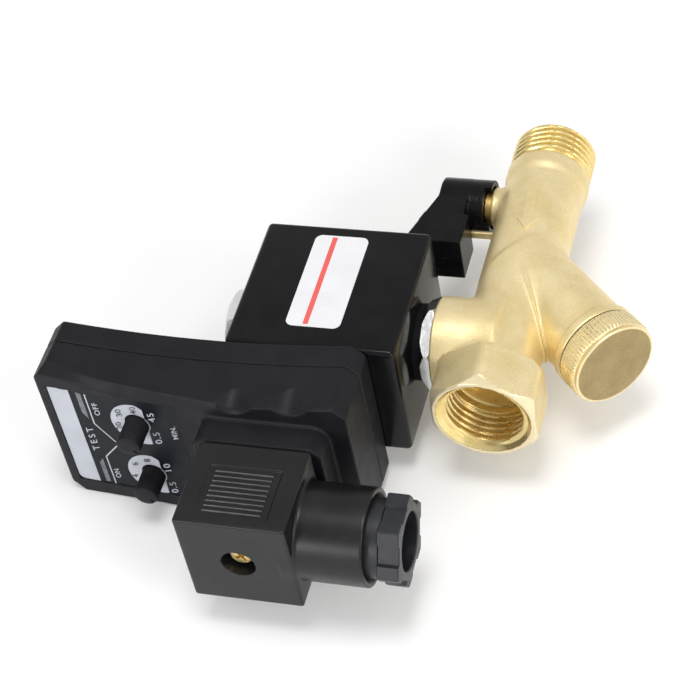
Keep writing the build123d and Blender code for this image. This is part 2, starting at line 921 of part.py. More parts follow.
def panel_openings(outer, inner):
    """Everything that passes through the sloped face."""
    shape = slope_layer(button_outline(slide_gap), outer, inner)
    for low, high in ((off_window_low, off_window_high), (on_window_low, on_window_high)):
        shape += slope_layer(window_outline(low, high, seat_gap), outer, inner)
    for z in (delay_z, discharge_z):
        hole = rod(front_axis, knob_hole_radius, 0, timer_front + 5)
        shape += hole.moved(Location((dial_x, 0, z)))
    return shape


def pedestal(half_gap, start, end):
    half_width = pedestal_half_width - half_gap
    half_height = pedestal_half_height - half_gap
    corner = max(pedestal_corner - half_gap, 0.5)
    outline = rounded_rectangle(connector_x - 0.7, half_width, 0, half_height, corner)
    return plate(outline, start, end)


def make_timer_front_housing():
    shape = timer_shape(0, timer_seam) - top_bevel() - scoops()
    shape += pedestal(0, timer_left_front, pedestal_front)
    inside = timer_shape(timer_wall, timer_seam - 1)
    inside += pedestal(pedestal_wall, timer_seam, pedestal_front - pedestal_wall)
    bosses = screw_holes(timer_seam, timer_front, boss_radius) & timer_shape(0.5, timer_seam)
    screw_post = rod(front_axis, recess_boss_radius - 1.9, fixing_start, pedestal_front)
    inside -= screw_post.moved(Location((connector_x, 0, 0)))
    shape -= inside - bosses
    shape -= screw_holes(timer_seam - 1, screw_end + 0.5, screw_radius)
    fixing = rod(front_axis, fixing_radius + seat_gap, 0, pedestal_front + 1)
    shape -= fixing.moved(Location((connector_x, 0, 0)))
    panel_x = (panel_left + panel_right) / 2
    panel_z = (panel_top + panel_bottom) / 2
    width = panel_right - panel_left
    height = panel_top - panel_bottom
    shape -= slope_layer(Pos(panel_x, panel_z) * Rectangle(width, height), -1, panel_sink)
    shape -= panel_openings(-1, timer_wall + 1)
    return shape - timer_blade_set(pedestal_front - 5, pedestal_front + 1)


def foil(x_range, z_range):
    center = (sum(x_range) / 2, sum(z_range) / 2)
    outline = Pos(*center) * Rectangle(x_range[1] - x_range[0], z_range[1] - z_range[0])
    return slope_layer(outline, panel_sink - foil_thickness, panel_sink)


def make_timer_nameplate():
    x_range = (panel_left + 0.05, panel_left + nameplate_width)
    return foil(x_range, (panel_bottom + 0.05, panel_top - 0.05))


def make_timer_label():
    x_range = (panel_left + nameplate_width + 0.05, panel_right - 0.05)
    shape = foil(x_range, (panel_bottom + 0.05, panel_top - 0.05))
    return shape - panel_openings(-1, timer_wall)


def make_lamp_window(low, high):
    return slope_layer(window_outline(low, high), panel_sink - foil_thickness, timer_wall)


def make_lamp(low, high):
    lamp = rod(front_axis, lamp_radius, board_front, board_front + lamp_height)
    return lamp.moved(Location((lamp_x, 0, (low + high) / 2)))


def make_test_button():
    shape = slope_layer(button_outline(), panel_sink - foil_thickness, timer_wall + seat_gap + 0.3)
    flange_start = timer_wall + seat_gap
    flange = slope_layer(
        button_outline(button_flange), flange_start, flange_start + button_flange_thickness
    )
    return shape + flange


def make_test_switch():
    z = (button_low + button_high) / 2
    return front_block(
        lamp_x + 1, switch_half, z, switch_half, board_front, board_front + switch_height
    )


def make_pot(z):
    shape = front_block(dial_x, pot_half, z, pot_half, board_front, board_front + pot_height)
    hole = rod(front_axis, pot_shaft_radius + running_gap, pot_shaft_start - 0.1, timer_front)
    return shape - hole.moved(Location((dial_x, 0, z)))


def make_pot_shaft(z):
    shaft = rod(front_axis, pot_shaft_radius, pot_shaft_start, pot_shaft_end)
    return shaft.moved(Location((dial_x, 0, z)))


def make_knob(z):
    shape = rod(front_axis, knob_radius, knob_bottom, knob_top)
    shape -= rod(front_axis, pot_shaft_radius + seat_gap, knob_bottom - 1, pot_shaft_end + 0.1)
    notch = front_block(knob_radius, knob_notch, 0, knob_notch / 4, knob_top - 0.7, knob_top + 1)
    shape -= notch.rotate(Axis.Y, knob_rest_angle)
    return shape.moved(Location((dial_x, 0, z)))


def make_timer_board():
    inside = offset(timer_outline(), -timer_wall - board_inset, kind=Kind.INTERSECTION)
    shape = plate(inside, board_level, board_front)
    return shape - screw_holes(0, timer_front, boss_radius + 0.4)


def make_timer_relay():
    z = (delay_z + discharge_z) / 2
    start = board_level - relay_height
    return front_block(relay_x, relay_length / 2, z + 8, relay_width / 2, start, board_level)


def make_timer_capacitor():
    start = board_level - capacitor_height
    shape = rod(front_axis, capacitor_radius, start, board_level)
    return shape.moved(Location((capacitor_x, 0, capacitor_z)))


def make_timer_sockets():
    start = -socket_proud
    shape = blade_set(coil_socket_x, socket_length, socket_thickness, start, board_level)
    return shape - coil_blades(-coil_face_y, socket_gap)


def make_coil_gasket():
    start = -coil_face_y
    end = start + gasket_thickness
    half = gasket_half
    window = gasket_window_half
    shape = front_block(coil_socket_x, half, 0, half, start, end)
    return shape - front_block(coil_socket_x, window, 0, window, start - 1, end + 1)


def make_housing_screws():
    head_end = screw_sink - timer_rear
    shape = screw_holes(head_end - screw_head, head_end, screw_head_radius)
    return shape + screw_holes(head_end, screw_end, screw_radius - seat_gap)


# Connector

def timer_blade_set(start, end, clearance=0.0):
    """The three blades between timer and connector."""
    width = terminal_width + 2 * clearance
    thickness = terminal_thickness + 2 * clearance
    return blade_set(connector_x, width, thickness, start, end)


def clip_blocks(start, end, clearance=0.0):
    """The connector's three contact clips, before their slots."""
    width = clip_width + 2 * clearance
    thickness = clip_thickness + 2 * clearance
    return blade_set(connector_x, width, thickness, start, end)


def make_timer_blades():
    return timer_blade_set(board_front, timer_blade_tip)


def make_connector_gasket():
    outline = rounded_rectangle(connector_x, connector_half_width - 1, 0, connector_half_height - 1.2, 2)
    shape = plate(outline, pedestal_front, connector_face)
    shape -= timer_blade_set(pedestal_front - 1, connector_face + 1, 0.1)
    screw = rod(front_axis, fixing_radius + 0.1, pedestal_front - 1, connector_face + 1)
    return shape - screw.moved(Location((connector_x, 0, 0)))


def rib_panel():
    half = rib_panel_half_width
    panel_z = (connector_half_height - rib_panel_sink, connector_half_height + 1)
    panel = block(
        (connector_x - half, connector_x + half), (-rib_panel_near, -rib_panel_far), panel_z
    )
    step = 2 * rib_half_span / (rib_count - 1)
    for index in range(rib_count):
        x = connector_x - rib_half_span + index * step
        panel -= block(
            (x - rib_width / 2, x + rib_width / 2),
            (-rib_near, -rib_far),
            (connector_half_height - rib_panel_sink - 1, connector_half_height),
        )
    return panel


def make_connector_housing():
    shape = block(
        (connector_left, connector_right),
        (-connector_face, -connector_front),
        (-connector_half_height, connector_half_height),
    )
    shape = fillet(shape.edges().filter_by(Axis.Y), connector_edge)
    shape = fillet(shape.faces().sort_by(Axis.Y)[0].edges(), connector_edge)
    shape += rod(barrel_axis, barrel_radius, connector_right - connector_wall, barrel_end)
    half_width = connector_half_width - connector_wall
    half_height = connector_half_height - connector_wall
    inside = front_block(
        connector_x, half_width, 0, half_height, connector_face - 1, connector_front - connector_wall
    )
    screw_boss = rod(front_axis, recess_boss_radius, insert_front + 0.1, connector_front)
    inside -= screw_boss.moved(Location((connector_x, 0, 0)))
    shape -= inside
    recess = rod(front_axis, recess_radius, recess_floor, connector_front + 1)
    shape -= recess.moved(Location((connector_x, 0, 0)))
    hole = rod(front_axis, fixing_radius + 0.1, insert_front, recess_floor + 1)
    shape -= hole.moved(Location((connector_x, 0, 0)))
    shape -= rod(barrel_axis, barrel_inner_radius, connector_right - connector_wall - 1, barrel_end)
    shape -= rod(barrel_axis, barrel_bore_radius, grommet_start, barrel_end + 1)
    mouth_start = barrel_end - barrel_mouth_depth
    shape -= cone(barrel_axis, barrel_bore_radius, barrel_mouth_radius, mouth_start, barrel_end)
    return shape - rib_panel()


def make_connector_insert():
    half_width = connector_half_width - connector_wall - slide_gap
    half_height = connector_half_height - connector_wall - slide_gap
    shape = front_block(connector_x, half_width, 0, half_height, connector_face, insert_front)
    clip_end = connector_face + connector_terminal_length
    shape -= clip_blocks(connector_face - 1, clip_end + seat_gap, seat_gap)
    screw = rod(front_axis, fixing_radius + 0.1, connector_face - 1, insert_front + 1)
    return shape - screw.moved(Location((connector_x, 0, 0)))


def make_connector_terminals():
    clip_end = connector_face + connector_terminal_length
    shape = clip_blocks(connector_face + 0.2, clip_end)
    return shape - timer_blade_set(connector_face - 1, timer_blade_tip + 0.2, seat_gap)


def make_fixing_screw():
    shape = rod(front_axis, fixing_radius, fixing_start, recess_floor)
    shape += rod(front_axis, fixing_head_radius, recess_floor, recess_floor + fixing_head)
    top = recess_floor + fixing_head
    slot = front_block(0, fixing_head_radius + 1, 0, fixing_slot / 2, top - 1.0, top + 1)
    return (shape - slot).moved(Location((connector_x, 0, 0)))


# Cable gland

def make_gland_grommet():
    end = grommet_start + grommet_length
    return tube(barrel_axis, barrel_bore_radius - 0.1, grommet_bore_radius, grommet_start, end)


def make_gland_washer():
    start = grommet_start + grommet_length
    return tube(barrel_axis, nut_shank_radius, cable_radius, start, nut_shank_start)


def make_gland_nut():
    shape = rod(barrel_axis, nut_shank_radius, nut_shank_start, nut_tooth_start)
    shape += rod(barrel_axis, nut_root_radius, nut_tooth_start, nut_tooth_end)
    ring = tube(barrel_axis, nut_tooth_radius, nut_root_radius - 0.5, nut_tooth_start, nut_tooth_end)
    half_tooth = nut_tooth_radius * sin(radians(nut_tooth_angle / 2))
    for index in range(nut_tooth_count):
        x_range = (0, nut_tooth_radius + 1)
        wedge = block(x_range, (-half_tooth, half_tooth), (nut_tooth_start, nut_tooth_end))
        turn = 360 / nut_tooth_count * index
        shape += ring & (barrel_axis * Rot(0, 0, turn) * wedge)
    return shape - rod(barrel_axis, cable_radius, nut_shank_start - 1, nut_tooth_end + 1)


def make_parts():
    off = (off_window_low, off_window_high)
    on = (on_window_low, on_window_high)
    return {
        "valve_body": make_valve_body(),
        "ball": make_ball(),
        "ball_seat_inlet": make_ball_seat(1),
        "ball_seat_outlet": make_ball_seat(-1),
        "seat_retainer": make_seat_retainer(),
        "ball_stem": make_ball_stem(),
        "stem_packing": make_stem_packing(),
        "stem_gland": make_stem_gland(),
        "handle": make_handle(),
        "handle_screw": make_handle_screw(),
        "strainer_screen": make_strainer_screen(),
        "cap_gasket": make_cap_gasket(),
        "strainer_cap": make_strainer_cap(),
        "core_tube": make_core_tube(),
        "tube_o_ring": make_tube_o_ring(),
        "fixed_core": make_fixed_core(),
        "plunger": make_plunger(),
        "plunger_seal": make_plunger_seal(),
        "plunger_spring": make_plunger_spring(),
        "coil_case": make_coil_case(),
        "coil_yoke": make_coil_yoke(),
        "coil_bobbin": make_coil_bobbin(),
        "coil_winding": make_coil_winding(),
        "coil_terminals": make_coil_terminals(),
        "coil_washer": make_coil_washer(),
        "coil_nut": make_coil_nut(),
        "coil_label": make_coil_label(),
        "coil_gasket": make_coil_gasket(),
        "timer_rear_housing": make_timer_rear_housing(),
        "timer_front_housing": make_timer_front_housing(),
        "timer_nameplate": make_timer_nameplate(),
        "timer_label": make_timer_label(),
        "off_lamp_window": make_lamp_window(*off),
        "on_lamp_window": make_lamp_window(*on),
        "off_lamp": make_lamp(*off),
        "on_lamp": make_lamp(*on),
        "test_button": make_test_button(),
        "test_switch": make_test_switch(),
        "delay_pot": make_pot(delay_z),
        "delay_pot_shaft": make_pot_shaft(delay_z),
        "delay_knob": make_knob(delay_z),
        "discharge_pot": make_pot(discharge_z),
        "discharge_pot_shaft": make_pot_shaft(discharge_z),
        "discharge_knob": make_knob(discharge_z),
        "timer_board": make_timer_board(),
        "timer_relay": make_timer_relay(),
        "timer_capacitor": make_timer_capacitor(),
        "timer_sockets": make_timer_sockets(),
        "timer_blades": make_timer_blades(),
        "housing_screws": make_housing_screws(),
        "connector_gasket": make_connector_gasket(),
        "connector_housing": make_connector_housing(),
        "connector_insert": make_connector_insert(),
        "connector_terminals": make_connector_terminals(),
        "fixing_screw": make_fixing_screw(),
        "gland_nut": make_gland_nut(),
        "gland_washer": make_gland_washer(),
        "gland_grommet": make_gland_grommet(),
    }


os.makedirs("parts", exist_ok=True)
for node, shape in make_parts().items():
    export_step(shape, f"parts/{node}.step")
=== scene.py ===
import functools
import math
import bmesh
import bpy
import numpy as np
from mathutils import Euler, Matrix, Vector


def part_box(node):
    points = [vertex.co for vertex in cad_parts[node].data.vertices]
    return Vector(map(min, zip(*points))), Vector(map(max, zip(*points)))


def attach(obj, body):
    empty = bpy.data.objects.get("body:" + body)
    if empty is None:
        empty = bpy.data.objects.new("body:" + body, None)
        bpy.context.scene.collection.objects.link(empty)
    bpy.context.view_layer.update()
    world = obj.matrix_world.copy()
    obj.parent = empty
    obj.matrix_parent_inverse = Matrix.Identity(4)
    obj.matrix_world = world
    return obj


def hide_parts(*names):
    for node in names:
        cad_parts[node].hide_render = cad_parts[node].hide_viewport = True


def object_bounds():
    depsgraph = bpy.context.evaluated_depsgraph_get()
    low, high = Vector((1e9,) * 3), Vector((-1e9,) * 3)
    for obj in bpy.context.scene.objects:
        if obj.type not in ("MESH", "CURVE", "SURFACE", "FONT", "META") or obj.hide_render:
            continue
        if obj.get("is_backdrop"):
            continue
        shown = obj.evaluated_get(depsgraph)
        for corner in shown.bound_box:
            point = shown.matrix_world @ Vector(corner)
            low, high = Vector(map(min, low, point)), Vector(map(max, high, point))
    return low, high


# Drain valve with a brass Y body, a coil, a timer and a cable connector. Shapes are worked out in millimetres.
mm = 0.001
mainBody = "valve_unit"
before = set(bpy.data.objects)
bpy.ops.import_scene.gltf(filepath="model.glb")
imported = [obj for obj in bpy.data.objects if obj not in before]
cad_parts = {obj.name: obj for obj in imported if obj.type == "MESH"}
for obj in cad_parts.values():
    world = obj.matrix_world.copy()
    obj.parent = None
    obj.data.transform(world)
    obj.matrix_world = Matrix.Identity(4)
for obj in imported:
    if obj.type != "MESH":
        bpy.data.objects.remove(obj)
cadBox = [list(corner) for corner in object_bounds()]
print("frame:", len(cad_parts), "nodes")


def boxOf(node):
    low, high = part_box(node)
    return np.array(low) / mm, np.array(high) / mm


# tones: two colours that drift into each other; patch: size of that drift in mm; rough: lowest and highest;
# grain: size and depth in mm of the surface texture; fleck: how much single grains differ; shine: for plastics
finishKeys = ("tones", "patch", "rough", "grain", "fleck", "metal", "shine")
finishRows = {
    "brass_forged": (((0.90, 0.75, 0.43), (0.82, 0.66, 0.33)), 7, (0.38, 0.48), (0.32, 0.04), 0.09, 0.6, 0.4),
    "brass_turned": (((0.93, 0.76, 0.36), (0.86, 0.66, 0.27)), 5, (0.24, 0.34), (0.25, 0.006), 0.05, 0.85),
    "bronze_ring": (((0.58, 0.41, 0.15), (0.47, 0.32, 0.11)), 3, (0.38, 0.5), (0.3, 0.03), 0.15, 1),
    "stainless": (((0.86, 0.86, 0.85), (0.78, 0.78, 0.78)), 4, (0.16, 0.26), (0.2, 0.004), 0.05, 1),
    "ball_chrome": (((0.80, 0.80, 0.82), (0.74, 0.74, 0.76)), 5, (0.06, 0.12), (0.3, 0.002), 0.0, 1),
    "magnet_steel": (((0.36, 0.35, 0.34), (0.28, 0.27, 0.26)), 4, (0.35, 0.5), (0.3, 0.01), 0.1, 1),
    "seat_white": (((0.82, 0.82, 0.80), (0.74, 0.74, 0.72)), 4, (0.4, 0.5), (0.3, 0.01), 0.05, 0),
    "handle_black": (((0.005, 0.005, 0.006), (0.008, 0.008, 0.009)), 6, (0.20, 0.28), (0.3, 0.006), 0.1, 0, 0.14),
    "coil_black": (((0.004, 0.004, 0.005), (0.007, 0.007, 0.008)), 9, (0.11, 0.17), (0.3, 0.004), 0.12, 0, 0.2),
    "timer_black": (((0.009, 0.009, 0.0115), (0.012, 0.012, 0.0145)), 9, (0.42, 0.52), (0.26, 0.02), 0.18, 0, 0.17),
    "connector_black": (((0.006, 0.006, 0.007), (0.010, 0.009, 0.009)), 8, (0.29, 0.37), (0.28, 0.018), 0.18, 0, 0.34),
    "gland_black": (((0.008, 0.009, 0.012), (0.012, 0.013, 0.017)), 5, (0.38, 0.5), (0.28, 0.02), 0.15, 0, 0.5),
    "nut_pale": (((0.84, 0.85, 0.83), (0.76, 0.77, 0.75)), 4, (0.30, 0.42), (0.3, 0.01), 0.08, 0.2, 0.4),
    "rubber_black": (((0.006, 0.006, 0.006), (0.009, 0.009, 0.009)), 4, (0.6, 0.75), (0.3, 0.02), 0.1, 0, 0.12),
    "label_white": (((0.78, 0.78, 0.80), (0.74, 0.74, 0.76)), 8, (0.35, 0.42), (0.4, 0.003), 0.03, 0, 0.3),
    "label_red": (((0.80, 0.13, 0.11), (0.74, 0.115, 0.10)), 6, (0.35, 0.42), (0.4, 0.003), 0.03, 0, 0.3),
    "nameplate_grey": (((0.50, 0.52, 0.57), (0.46, 0.48, 0.53)), 6, (0.42, 0.5), (0.22, 0.006), 0.06, 0, 0.3),
    "panel_black": (((0.005, 0.007, 0.010), (0.008, 0.010, 0.014)), 8, (0.38, 0.48), (0.22, 0.01), 0.12, 0, 0.15),
    "window_smoke": (((0.10, 0.11, 0.12), (0.16, 0.17, 0.18)), 2, (0.18, 0.28), (0.4, 0.004), 0.05, 0, 0.5),
    "lamp_red": (((0.45, 0.03, 0.02), (0.38, 0.02, 0.02)), 1, (0.2, 0.3), (0.3, 0.002), 0.02, 0),
    "board_green": (((0.02, 0.16, 0.07), (0.015, 0.12, 0.05)), 6, (0.35, 0.5), (0.4, 0.01), 0.1, 0),
    "relay_blue": (((0.02, 0.10, 0.42), (0.02, 0.08, 0.34)), 5, (0.35, 0.45), (0.4, 0.006), 0.05, 0),
    "nylon_grey": (((0.30, 0.30, 0.29), (0.25, 0.25, 0.24)), 5, (0.45, 0.6), (0.3, 0.01), 0.08, 0),
    "copper_wire": (((0.72, 0.33, 0.16), (0.60, 0.26, 0.12)), 3, (0.3, 0.4), (0.4, 0.03), 0.1, 1),
    "tinned": (((0.66, 0.66, 0.65), (0.58, 0.58, 0.57)), 3, (0.25, 0.36), (0.25, 0.006), 0.06, 1),
}
finishSpecs = {name: dict(zip(finishKeys, row)) for name, row in finishRows.items()}
finishSpecs["brass_forged"]["machined"] = True


class Graph:
    # Node editor helper: each call adds a node and returns its first output
    def __init__(self, material):
        material.use_nodes = True
        self.tree = material.node_tree
        self.tree.nodes.clear()

    def add(self, kind, inputs=None, **settings):
        node = self.tree.nodes.new(kind)
        for key, value in settings.items():
            setattr(node, key, value)
        for key, value in (inputs or {}).items():
            if isinstance(value, bpy.types.NodeSocket):
                self.tree.links.new(value, node.inputs[key])
            else:
                node.inputs[key].default_value = value
        return node

    def math(self, operation, *values):
        return self.add("ShaderNodeMath", dict(enumerate(values)), operation=operation).outputs[0]

    def vector(self, operation, *values):
        return self.add("ShaderNodeVectorMath", dict(enumerate(values)), operation=operation)

    def scaled(self, colour, share):
        node = self.vector("SCALE", colour)
        self.tree.links.new(share, node.inputs["Scale"])
        return node.outputs[0]

    def finish(self, shader, kind):
        self.tree.links.new(shader.outputs[0], self.add(kind).inputs[0])

    def mixColour(self, share, first, second):
        node = self.add("ShaderNodeMix", data_type="RGBA")
        for socket, value in ((node.inputs[0], share), (node.inputs[6], first), (node.inputs[7], second)):
            if isinstance(value, bpy.types.NodeSocket):
                self.tree.links.new(value, socket)
            else:
                socket.default_value = value if isinstance(value, float) else (*value, 1)
        return node.outputs[2]

    def spread(self, value, low, high, outLow, outHigh):
        return self.add("ShaderNodeMapRange", {0: value, 1: low, 2: high, 3: outLow, 4: outHigh}).outputs[0]


def noiseOf(graph, place, size, detail=3.0):
    return graph.add("ShaderNodeTexNoise", {"Vector": place, "Scale": 1 / (size * mm), "Detail": detail}).outputs[0]


machinedTone, machinedRough = (0.86, 0.74, 0.47), 0.27


def makeFinish(name, spec, rings=None):
    material = bpy.data.materials.new(name + ("_rings" if rings else "_finish"))
    graph = Graph(material)
    place = graph.add("ShaderNodeTexCoord").outputs["Object"]
    drift = noiseOf(graph, place, spec["patch"], 4.0)
    grain = noiseOf(graph, place, spec["grain"][0], 2.0)
    tones = graph.mixColour(graph.spread(drift, 0.35, 0.65, 0.0, 1.0), *spec["tones"])
    lift = graph.spread(grain, 0.3, 0.7, 1 - spec["fleck"], 1 + spec["fleck"])
    colour = graph.scaled(tones, lift)
    rough = graph.spread(noiseOf(graph, place, spec["patch"] * 0.4), 0.3, 0.7, *spec["rough"])
    height = grain
    if rings:  # turned faces carry fine rings round the axis, and the knurled rim gets a brighter tone than the face: the face's darker tone is painted shade and reflection
        centre, axis = rings
        toCentre = graph.vector("SUBTRACT", place, tuple(np.array(centre) * mm)).outputs[0]
        sideways = graph.vector("CROSS_PRODUCT", toCentre, axis).outputs[0]
        radius = graph.vector("LENGTH", sideways).outputs["Value"]
        ringInputs = {"W": graph.math("MULTIPLY", radius, 1000.0), "Scale": 3.2, "Detail": 3.0}
        ring = graph.add("ShaderNodeTexNoise", ringInputs, noise_dimensions="1D").outputs[0]
        rough = graph.math("ADD", rough, graph.spread(ring, 0.3, 0.7, -0.05, 0.07))
        height = graph.math("ADD", graph.math("MULTIPLY", ring, 3.0), grain)
        rimStart, rimTone = spec["rim"]
        rim = graph.scaled(rimTone, lift)
        colour = graph.mixColour(graph.math("GREATER_THAN", radius, rimStart * mm), colour, rim)
    if spec.get("machined"):  # the mouth of the outlet is cut bright where the tool touched the forging
        part = graph.add("ShaderNodeSeparateXYZ", {0: place})
        x, y, z = (graph.math("MULTIPLY", part.outputs[i], 1000.0) for i in range(3))
        across = graph.math("SQRT", graph.math("ADD", graph.math("MULTIPLY", x, x), graph.math("MULTIPLY", z, z)))
        cone = graph.math("ABSOLUTE", graph.math("SUBTRACT", graph.math("SUBTRACT", across, y), mouth["flat"]))
        onCone = graph.math("MULTIPLY", graph.math("LESS_THAN", cone, 0.16), graph.math("LESS_THAN", y, 2.6))
        cutHere = graph.math("MAXIMUM", onCone, graph.math("LESS_THAN", y, 0.06))
        colour = graph.mixColour(cutHere, colour, machinedTone)
        rough = graph.add("ShaderNodeMix", {0: cutHere, 2: rough, 3: machinedRough}, data_type="FLOAT").outputs[0]
        height = graph.math("MULTIPLY", height, graph.spread(cutHere, 0.0, 1.0, 1.0, 0.12))
    bumpInputs = {"Strength": 1.0, "Distance": spec["grain"][1] * mm, "Height": height}
    bump = graph.add("ShaderNodeBump", bumpInputs).outputs[0]
    shader = graph.add("ShaderNodeBsdfPrincipled", {
        "Base Color": colour, "Roughness": rough, "Normal": bump,
        "Metallic": spec["metal"], "Specular IOR Level": spec.get("shine", 0.5),
    })
    graph.finish(shader, "ShaderNodeOutputMaterial")
    return material


def finished(obj, finishName, body, stands=()):
    obj.data.materials.clear()
    obj.data.materials.append(finishes[finishName])
    if stands:
        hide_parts(*stands)
    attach(obj, body)
    return obj


def newPiece(name, points, faces, finishName, stands=(), body=mainBody, crease=38, normals=None):
    mesh = bpy.data.meshes.new(name)
    mesh.from_pydata((np.asarray(points, float) * mm).tolist(), [], [list(face) for face in faces])
    if normals is None:
        work = bmesh.new()
        work.from_mesh(mesh)
        bmesh.ops.remove_doubles(work, verts=work.verts, dist=1e-7)
        bmesh.ops.recalc_face_normals(work, faces=work.faces)
        work.to_mesh(mesh)
        work.free()
    mesh.polygons.foreach_set("use_smooth", np.ones(len(mesh.polygons), bool))
    if normals is None:
        mesh.set_sharp_from_angle(angle=math.radians(crease))
    else:
        mesh.normals_split_custom_set_from_vertices(normals.tolist())
    obj = bpy.data.objects.new(name, mesh)
    bpy.context.scene.collection.objects.link(obj)
    return finished(obj, finishName, body, stands)


def rounded(a, b, edge):  # inside both, with a rounded corner
    a, b = a + edge, b + edge
    return np.minimum(np.maximum(a, b), 0) + np.hypot(np.maximum(a, 0), np.maximum(b, 0)) - edge


def joined(a, b, fillet):  # inside either, with a fillet in the corner
    share = np.clip(0.5 + 0.5 * (b - a) / fillet, 0, 1)
    return b + (a - b) * share - fillet * share * (1 - share)


def within(value, low, high):
    return np.maximum(low - value, value - high)


def overlap(*fields):  # inside all of them
    return functools.reduce(np.maximum, fields)


def either(*fields):  # inside any of them
    return functools.reduce(np.minimum, fields)


def hexField(u, v, flats):
    return np.maximum(np.abs(u), np.abs(u) * 0.5 + np.abs(v) * hexSide) - flats / 2


def softStep(value):
    value = np.clip(value, 0, 1)
    return value * value * (3 - 2 * value)


def rodField(x, y, z, base, along, radius, start, end, edge=0.3):
    dx, dy, dz = x - base[0], y - base[1], z - base[2]
    s = dx * along[0] + dy * along[1] + dz * along[2]
    across = np.sqrt(np.maximum(dx * dx + dy * dy + dz * dz - s * s, 0))
    return rounded(across - radius, within(s, start, end), edge)


def netted(name, field, low, high, step, finishName, stands=(), body=mainBody):
    # skin of a field: one point in each cell that the surface crosses, pulled on to the surface
    axes = [np.arange(a, b + step, step) for a, b in zip(low, high)]
    values = np.empty([len(a) for a in axes], np.float32)
    for i in range(0, len(axes[0]), 24):
        grid = np.meshgrid(axes[0][i:i + 24], axes[1], axes[2], indexing="ij")
        values[i:i + 24] = field(*grid)
    inside = values < 0
    size = np.array(values.shape) - 1
    corner = lambda array, i, j, k: array[i:size[0] + i, j:size[1] + j, k:size[2] + k]
    count = sum(corner(inside, i, j, k).astype(np.int8) for i in (0, 1) for j in (0, 1) for k in (0, 1))
    active = (count > 0) & (count < 8)
    total = int(active.sum())
    number = np.full(active.shape, -1)
    number[active] = np.arange(total)
    place, hits = np.zeros((total, 3)), np.zeros(total)
    for axis in range(3):
        for other in ((0, 0), (0, 1), (1, 0), (1, 1)):
            first, second = list(other), list(other)
            first.insert(axis, 0)
            second.insert(axis, 1)
            a, b = corner(values, *first)[active].astype(float), corner(values, *second)[active].astype(float)
            crossing = (a < 0) != (b < 0)
            offset = np.tile(np.array(first, float), (total, 1))
            offset[:, axis] = np.where(crossing, a / np.where(a == b, 1, a - b), 0)
            place += offset * crossing[:, None]
            hits += crossing
    points = (np.argwhere(active) + place / hits[:, None]) * step + np.array(low)
    faces = []
    for axis in range(3):
        first = np.take(inside, np.arange(size[axis]), axis=axis)
        second = np.take(inside, np.arange(1, size[axis] + 1), axis=axis)
        where = np.argwhere(first != second)
        u, v = (axis + 1) % 3, (axis + 2) % 3
        where = where[(where[:, u] > 0) & (where[:, v] > 0) & (where[:, u] < size[u]) & (where[:, v] < size[v])]
        outward = first[tuple(where.T)]
        ring = []
        for du, dv in ((0, 0), (1, 0), (1, 1), (0, 1)):
            cell = where.copy()
            cell[:, u] -= du
            cell[:, v] -= dv
            ring.append(number[tuple(cell.T)])
        ring = np.stack(ring, 1)
        ring[~outward] = ring[~outward][:, ::-1]
        faces.append(ring)

    def slopeAt(places):
        tiny = 0.03
        columns = []
        for axis in range(3):
            shift = np.zeros(3)
            shift[axis] = tiny
            columns.append(field(*(places + shift).T) - field(*(places - shift).T))
        return np.stack(columns, 1) / (2 * tiny)

    for turn in range(3):
        slope = slopeAt(points)
        move = -field(*points.T)[:, None] * slope / np.maximum((slope ** 2).sum(1), 0.25)[:, None]
        points += np.clip(move, -step * 0.5, step * 0.5)
    slope = slopeAt(points)
    slope /= np.maximum(np.linalg.norm(slope, axis=1), 1e-6)[:, None]
    newPiece(name, points, np.concatenate(faces).tolist(), finishName, stands, body, normals=slope)
    print(name, len(points), "points")


def circleAngles(segments):
    return np.arange(segments) * 2 * np.pi / segments


def turnedMesh(base, along, rings, segments, closed=False):
    # rings: distance along the axis, and a radius or one radius for each segment
    along = np.array(along, float)
    side = np.array((0.0, 0.0, 1.0)) if abs(along[2]) < 0.9 else np.array((1.0, 0.0, 0.0))
    other = np.cross(along, side)
    angle = circleAngles(segments)
    points, faces = [], []
    for s, radius in rings:
        radius = np.broadcast_to(np.asarray(radius, float), (segments,))
        points.append(
            np.array(base) + along * s + side * (radius * np.cos(angle))[:, None]
            + other * (radius * np.sin(angle))[:, None])
    rows = len(rings)
    for row in range(rows if closed else rows - 1):
        a, b = row * segments, (row + 1) % rows * segments
        faces += [(a + i, a + (i + 1) % segments, b + (i + 1) % segments, b + i) for i in range(segments)]
    points = np.concatenate(points)
    if not closed:
        for row, s in ((0, rings[0][0]), (rows - 1, rings[-1][0])):
            centre = len(points)
            points = np.vstack([points, np.array(base) + along * s])
            faces += [(row * segments + i, row * segments + (i + 1) % segments, centre) for i in range(segments)]
    return points, faces


def turned(name, base, along, rings, segments, finishName, stands=(), body=mainBody, closed=False,
        crease=38):
    points, faces = turnedMesh(base, along, rings, segments, closed)
    newPiece(name, points, faces, finishName, stands, body, crease)


def flatMesh(outlines, thickness):
    # filled outline with holes, as a thin plate: local x, y and thickness
    curve = bpy.data.curves.new("outline", "CURVE")
    curve.dimensions = "2D"
    curve.fill_mode = "BOTH"
    curve.extrude = thickness / 2
    for outline in outlines:
        spline = curve.splines.new("POLY")
        spline.points.add(len(outline) - 1)
        for point, (u, v) in zip(spline.points, outline):
            point.co = (u, v, 0, 1)
        spline.use_cyclic_u = True
    return curveMesh(curve)


def curveMesh(curve):
    holder = bpy.data.objects.new("outline", curve)
    bpy.context.scene.collection.objects.link(holder)
    mesh = bpy.data.meshes.new_from_object(holder)
    points = np.array([vertex.co for vertex in mesh.vertices])
    faces = [tuple(face.vertices) for face in mesh.polygons]
    bpy.data.objects.remove(holder)
    bpy.data.meshes.remove(mesh)
    return points, faces


